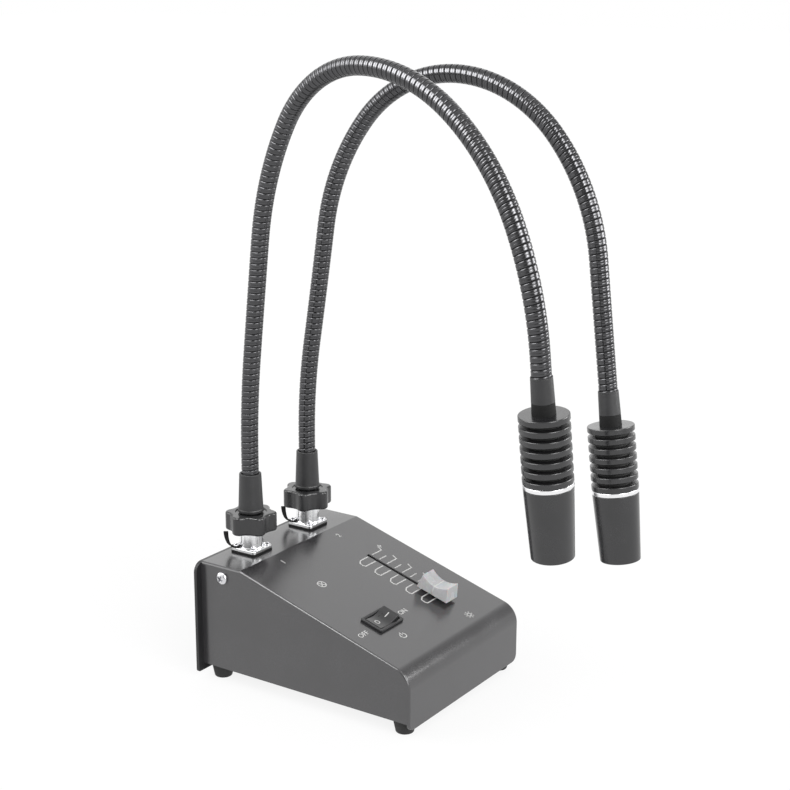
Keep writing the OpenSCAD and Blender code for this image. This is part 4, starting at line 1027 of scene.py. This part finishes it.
for side in socket_places:
    place = neck_place(side, length * lengths)
    body = f"{side}_arm_{lengths}"
    for name, node, material, slot, sides, closed, profile in head_parts:
        made = piece_of(f"{side}_{name}", lathe(profile, sides, closed), place, material)
        fixed(made, body, slot, *([f"{side}_{node}"] if node else []))
    # Painted shade between the discs: the whole core and the inner part of each disc are darkened to black.
    one_disc = piece_of("disc", painted_groove_shade(lathe(disc, disc_sides), 8.6, 9.8), Matrix(), None)
    bm = painted_groove_shade(lathe(core, disc_sides), 20, 21)
    lathe(top_disc, disc_sides, bm=bm)
    sink = piece_of(f"{side}_cooling_discs", bm, Matrix(), None)
    row_on(sink, one_disc, discs - 1, (0, 0, sink_at + disc_pitch), (0, 0, disc_pitch), head_black, place)
    fixed(sink, body, "head_black", f"{side}_heat_sink")

# Floor, light and camera
# A plain pale table in a white room that gloss shows dimmer in front and brighter behind on the right, a soft
# lamp in front, a weaker one behind on the left, three strip lamps that show only in gloss, and the camera.
floor_half, floor_z = 8, -0.0002
floor_mesh = bpy.data.meshes.new("floor")
floor_mesh.from_pydata(
    [(x * floor_half, y * floor_half, floor_z) for x, y in corners], [], [(0, 2, 3, 1)])
floor = put("floor", floor_mesh)
floor_white = bpy.data.materials.new("pale floor")
floor_white.use_nodes = True
floor_mesh.materials.append(floor_white)


def looked_at(tree):
    """1 where something is seen, also mirrored or through glass, and 0 where it lights other things."""
    rays = add(tree, "ShaderNodeLightPath")
    seen = number(tree, "MAXIMUM", rays["Is Camera Ray"], rays["Is Glossy Ray"])
    return number(tree, "MAXIMUM", seen, rays["Is Transmission Ray"])


tree = floor_white.node_tree
tree.nodes.clear()
pale = add(tree, "ShaderNodeBsdfDiffuse", {"Color": (0.78, 0.78, 0.78, 1)})
thin = add(tree, "ShaderNodeBsdfDiffuse", {"Color": (0.16, 0.16, 0.16, 1)})
glow = add(tree, "ShaderNodeEmission", {"Color": (1, 1, 1, 1), "Strength": 0.86})
white = add(tree, "ShaderNodeAddShader", {0: thin[0], 1: glow[0]})
both = add(tree, "ShaderNodeMixShader", {0: looked_at(tree), 1: pale[0], 2: white[0]})
add(tree, "ShaderNodeOutputMaterial", {"Surface": both[0]})

room = bpy.data.worlds.new("white room")
room.use_nodes = True
bpy.context.scene.world = room
tree = room.node_tree
ray_way = add(tree, "ShaderNodeTexCoord")["Generated"]


def part_of_room(way, start, end, amount):
    """An amount for the part of the room that lies this way, fading between two cosines."""
    near = vector(tree, "DOT_PRODUCT", ray_way, Vector(way).normalized(), out="Value")
    return ramp(tree, near, start, end, 0, amount, smooth=True)


gap = part_of_room((0.8, -0.26, 0.52), 0.9, 0.97, 0.42)
front = part_of_room((-0.55, -0.83, 0.1), 0.3, 0.8, 0.6)
behind = part_of_room((0.8, 0.43, 0.4), 0.78, 0.95, 0.45)
less = number(tree, "SUBTRACT", number(tree, "MAXIMUM", gap, front), behind)
in_gloss = number(tree, "MULTIPLY", less, add(tree, "ShaderNodeLightPath")["Is Glossy Ray"])
strength = number(tree, "SUBTRACT", ramp(tree, looked_at(tree), 0, 1, 0.6, 1), in_gloss)
background = tree.nodes["Background"].inputs
background["Color"].default_value = (1, 1, 1, 1)
tree.links.new(strength, background["Strength"])

lamp_angle = 44
for name, way, power in (("key", (-0.33, -0.85, 0.42), 1.9), ("side", (-0.48, 0.77, 0.42), 1.0)):
    lamp = bpy.data.lights.new(name, "SUN")
    lamp.energy, lamp.angle = power, radians(lamp_angle)
    put(name, lamp).rotation_euler = Vector(way).to_track_quat("Z", "Y").to_euler()

# Strip lamps: width and height in metres, place and aim in millimetres, brightness
for name, width, height, at, aim, bright in (
        ("right strip", 0.22, 0.3, (240, -440, 350), (0, -180, 250), 8),
        ("front strip", 0.14, 0.4, (-172, -448, 589), (0, -150, 300), 7),
        ("rear strip", 0.34, 0.26, (-270, 130, 560), (-30, -60, 345), 8)):
    lamp = bpy.data.lights.new(name, "AREA")
    lamp.shape, lamp.size, lamp.size_y = "RECTANGLE", width, height
    lamp.energy = bright * pi * width * height
    strip = put(name, lamp)
    strip.location = BASE @ Vector(at)
    strip.rotation_euler = (strip.location - BASE @ Vector(aim)).to_track_quat("Z", "Y").to_euler()
    strip.visible_camera = strip.visible_diffuse = False

camera_at = BASE @ Vector((-722.993, -510.949, 406.07))
azimuth, elevation, roll = -55.975, 15.076, 0.215
lens_data = bpy.data.cameras.new("camera")
lens_data.lens, lens_data.sensor_width, lens_data.clip_start, lens_data.clip_end = 74.62, 36, 0.01, 50
camera = put("camera", lens_data)
camera.matrix_world = moved(*camera_at) @ spun(azimuth, "Z") @ spun(90 - elevation, "X") @ spun(roll, "Z")
bpy.context.scene.camera = camera
bpy.context.scene.view_settings.view_transform = "Standard"
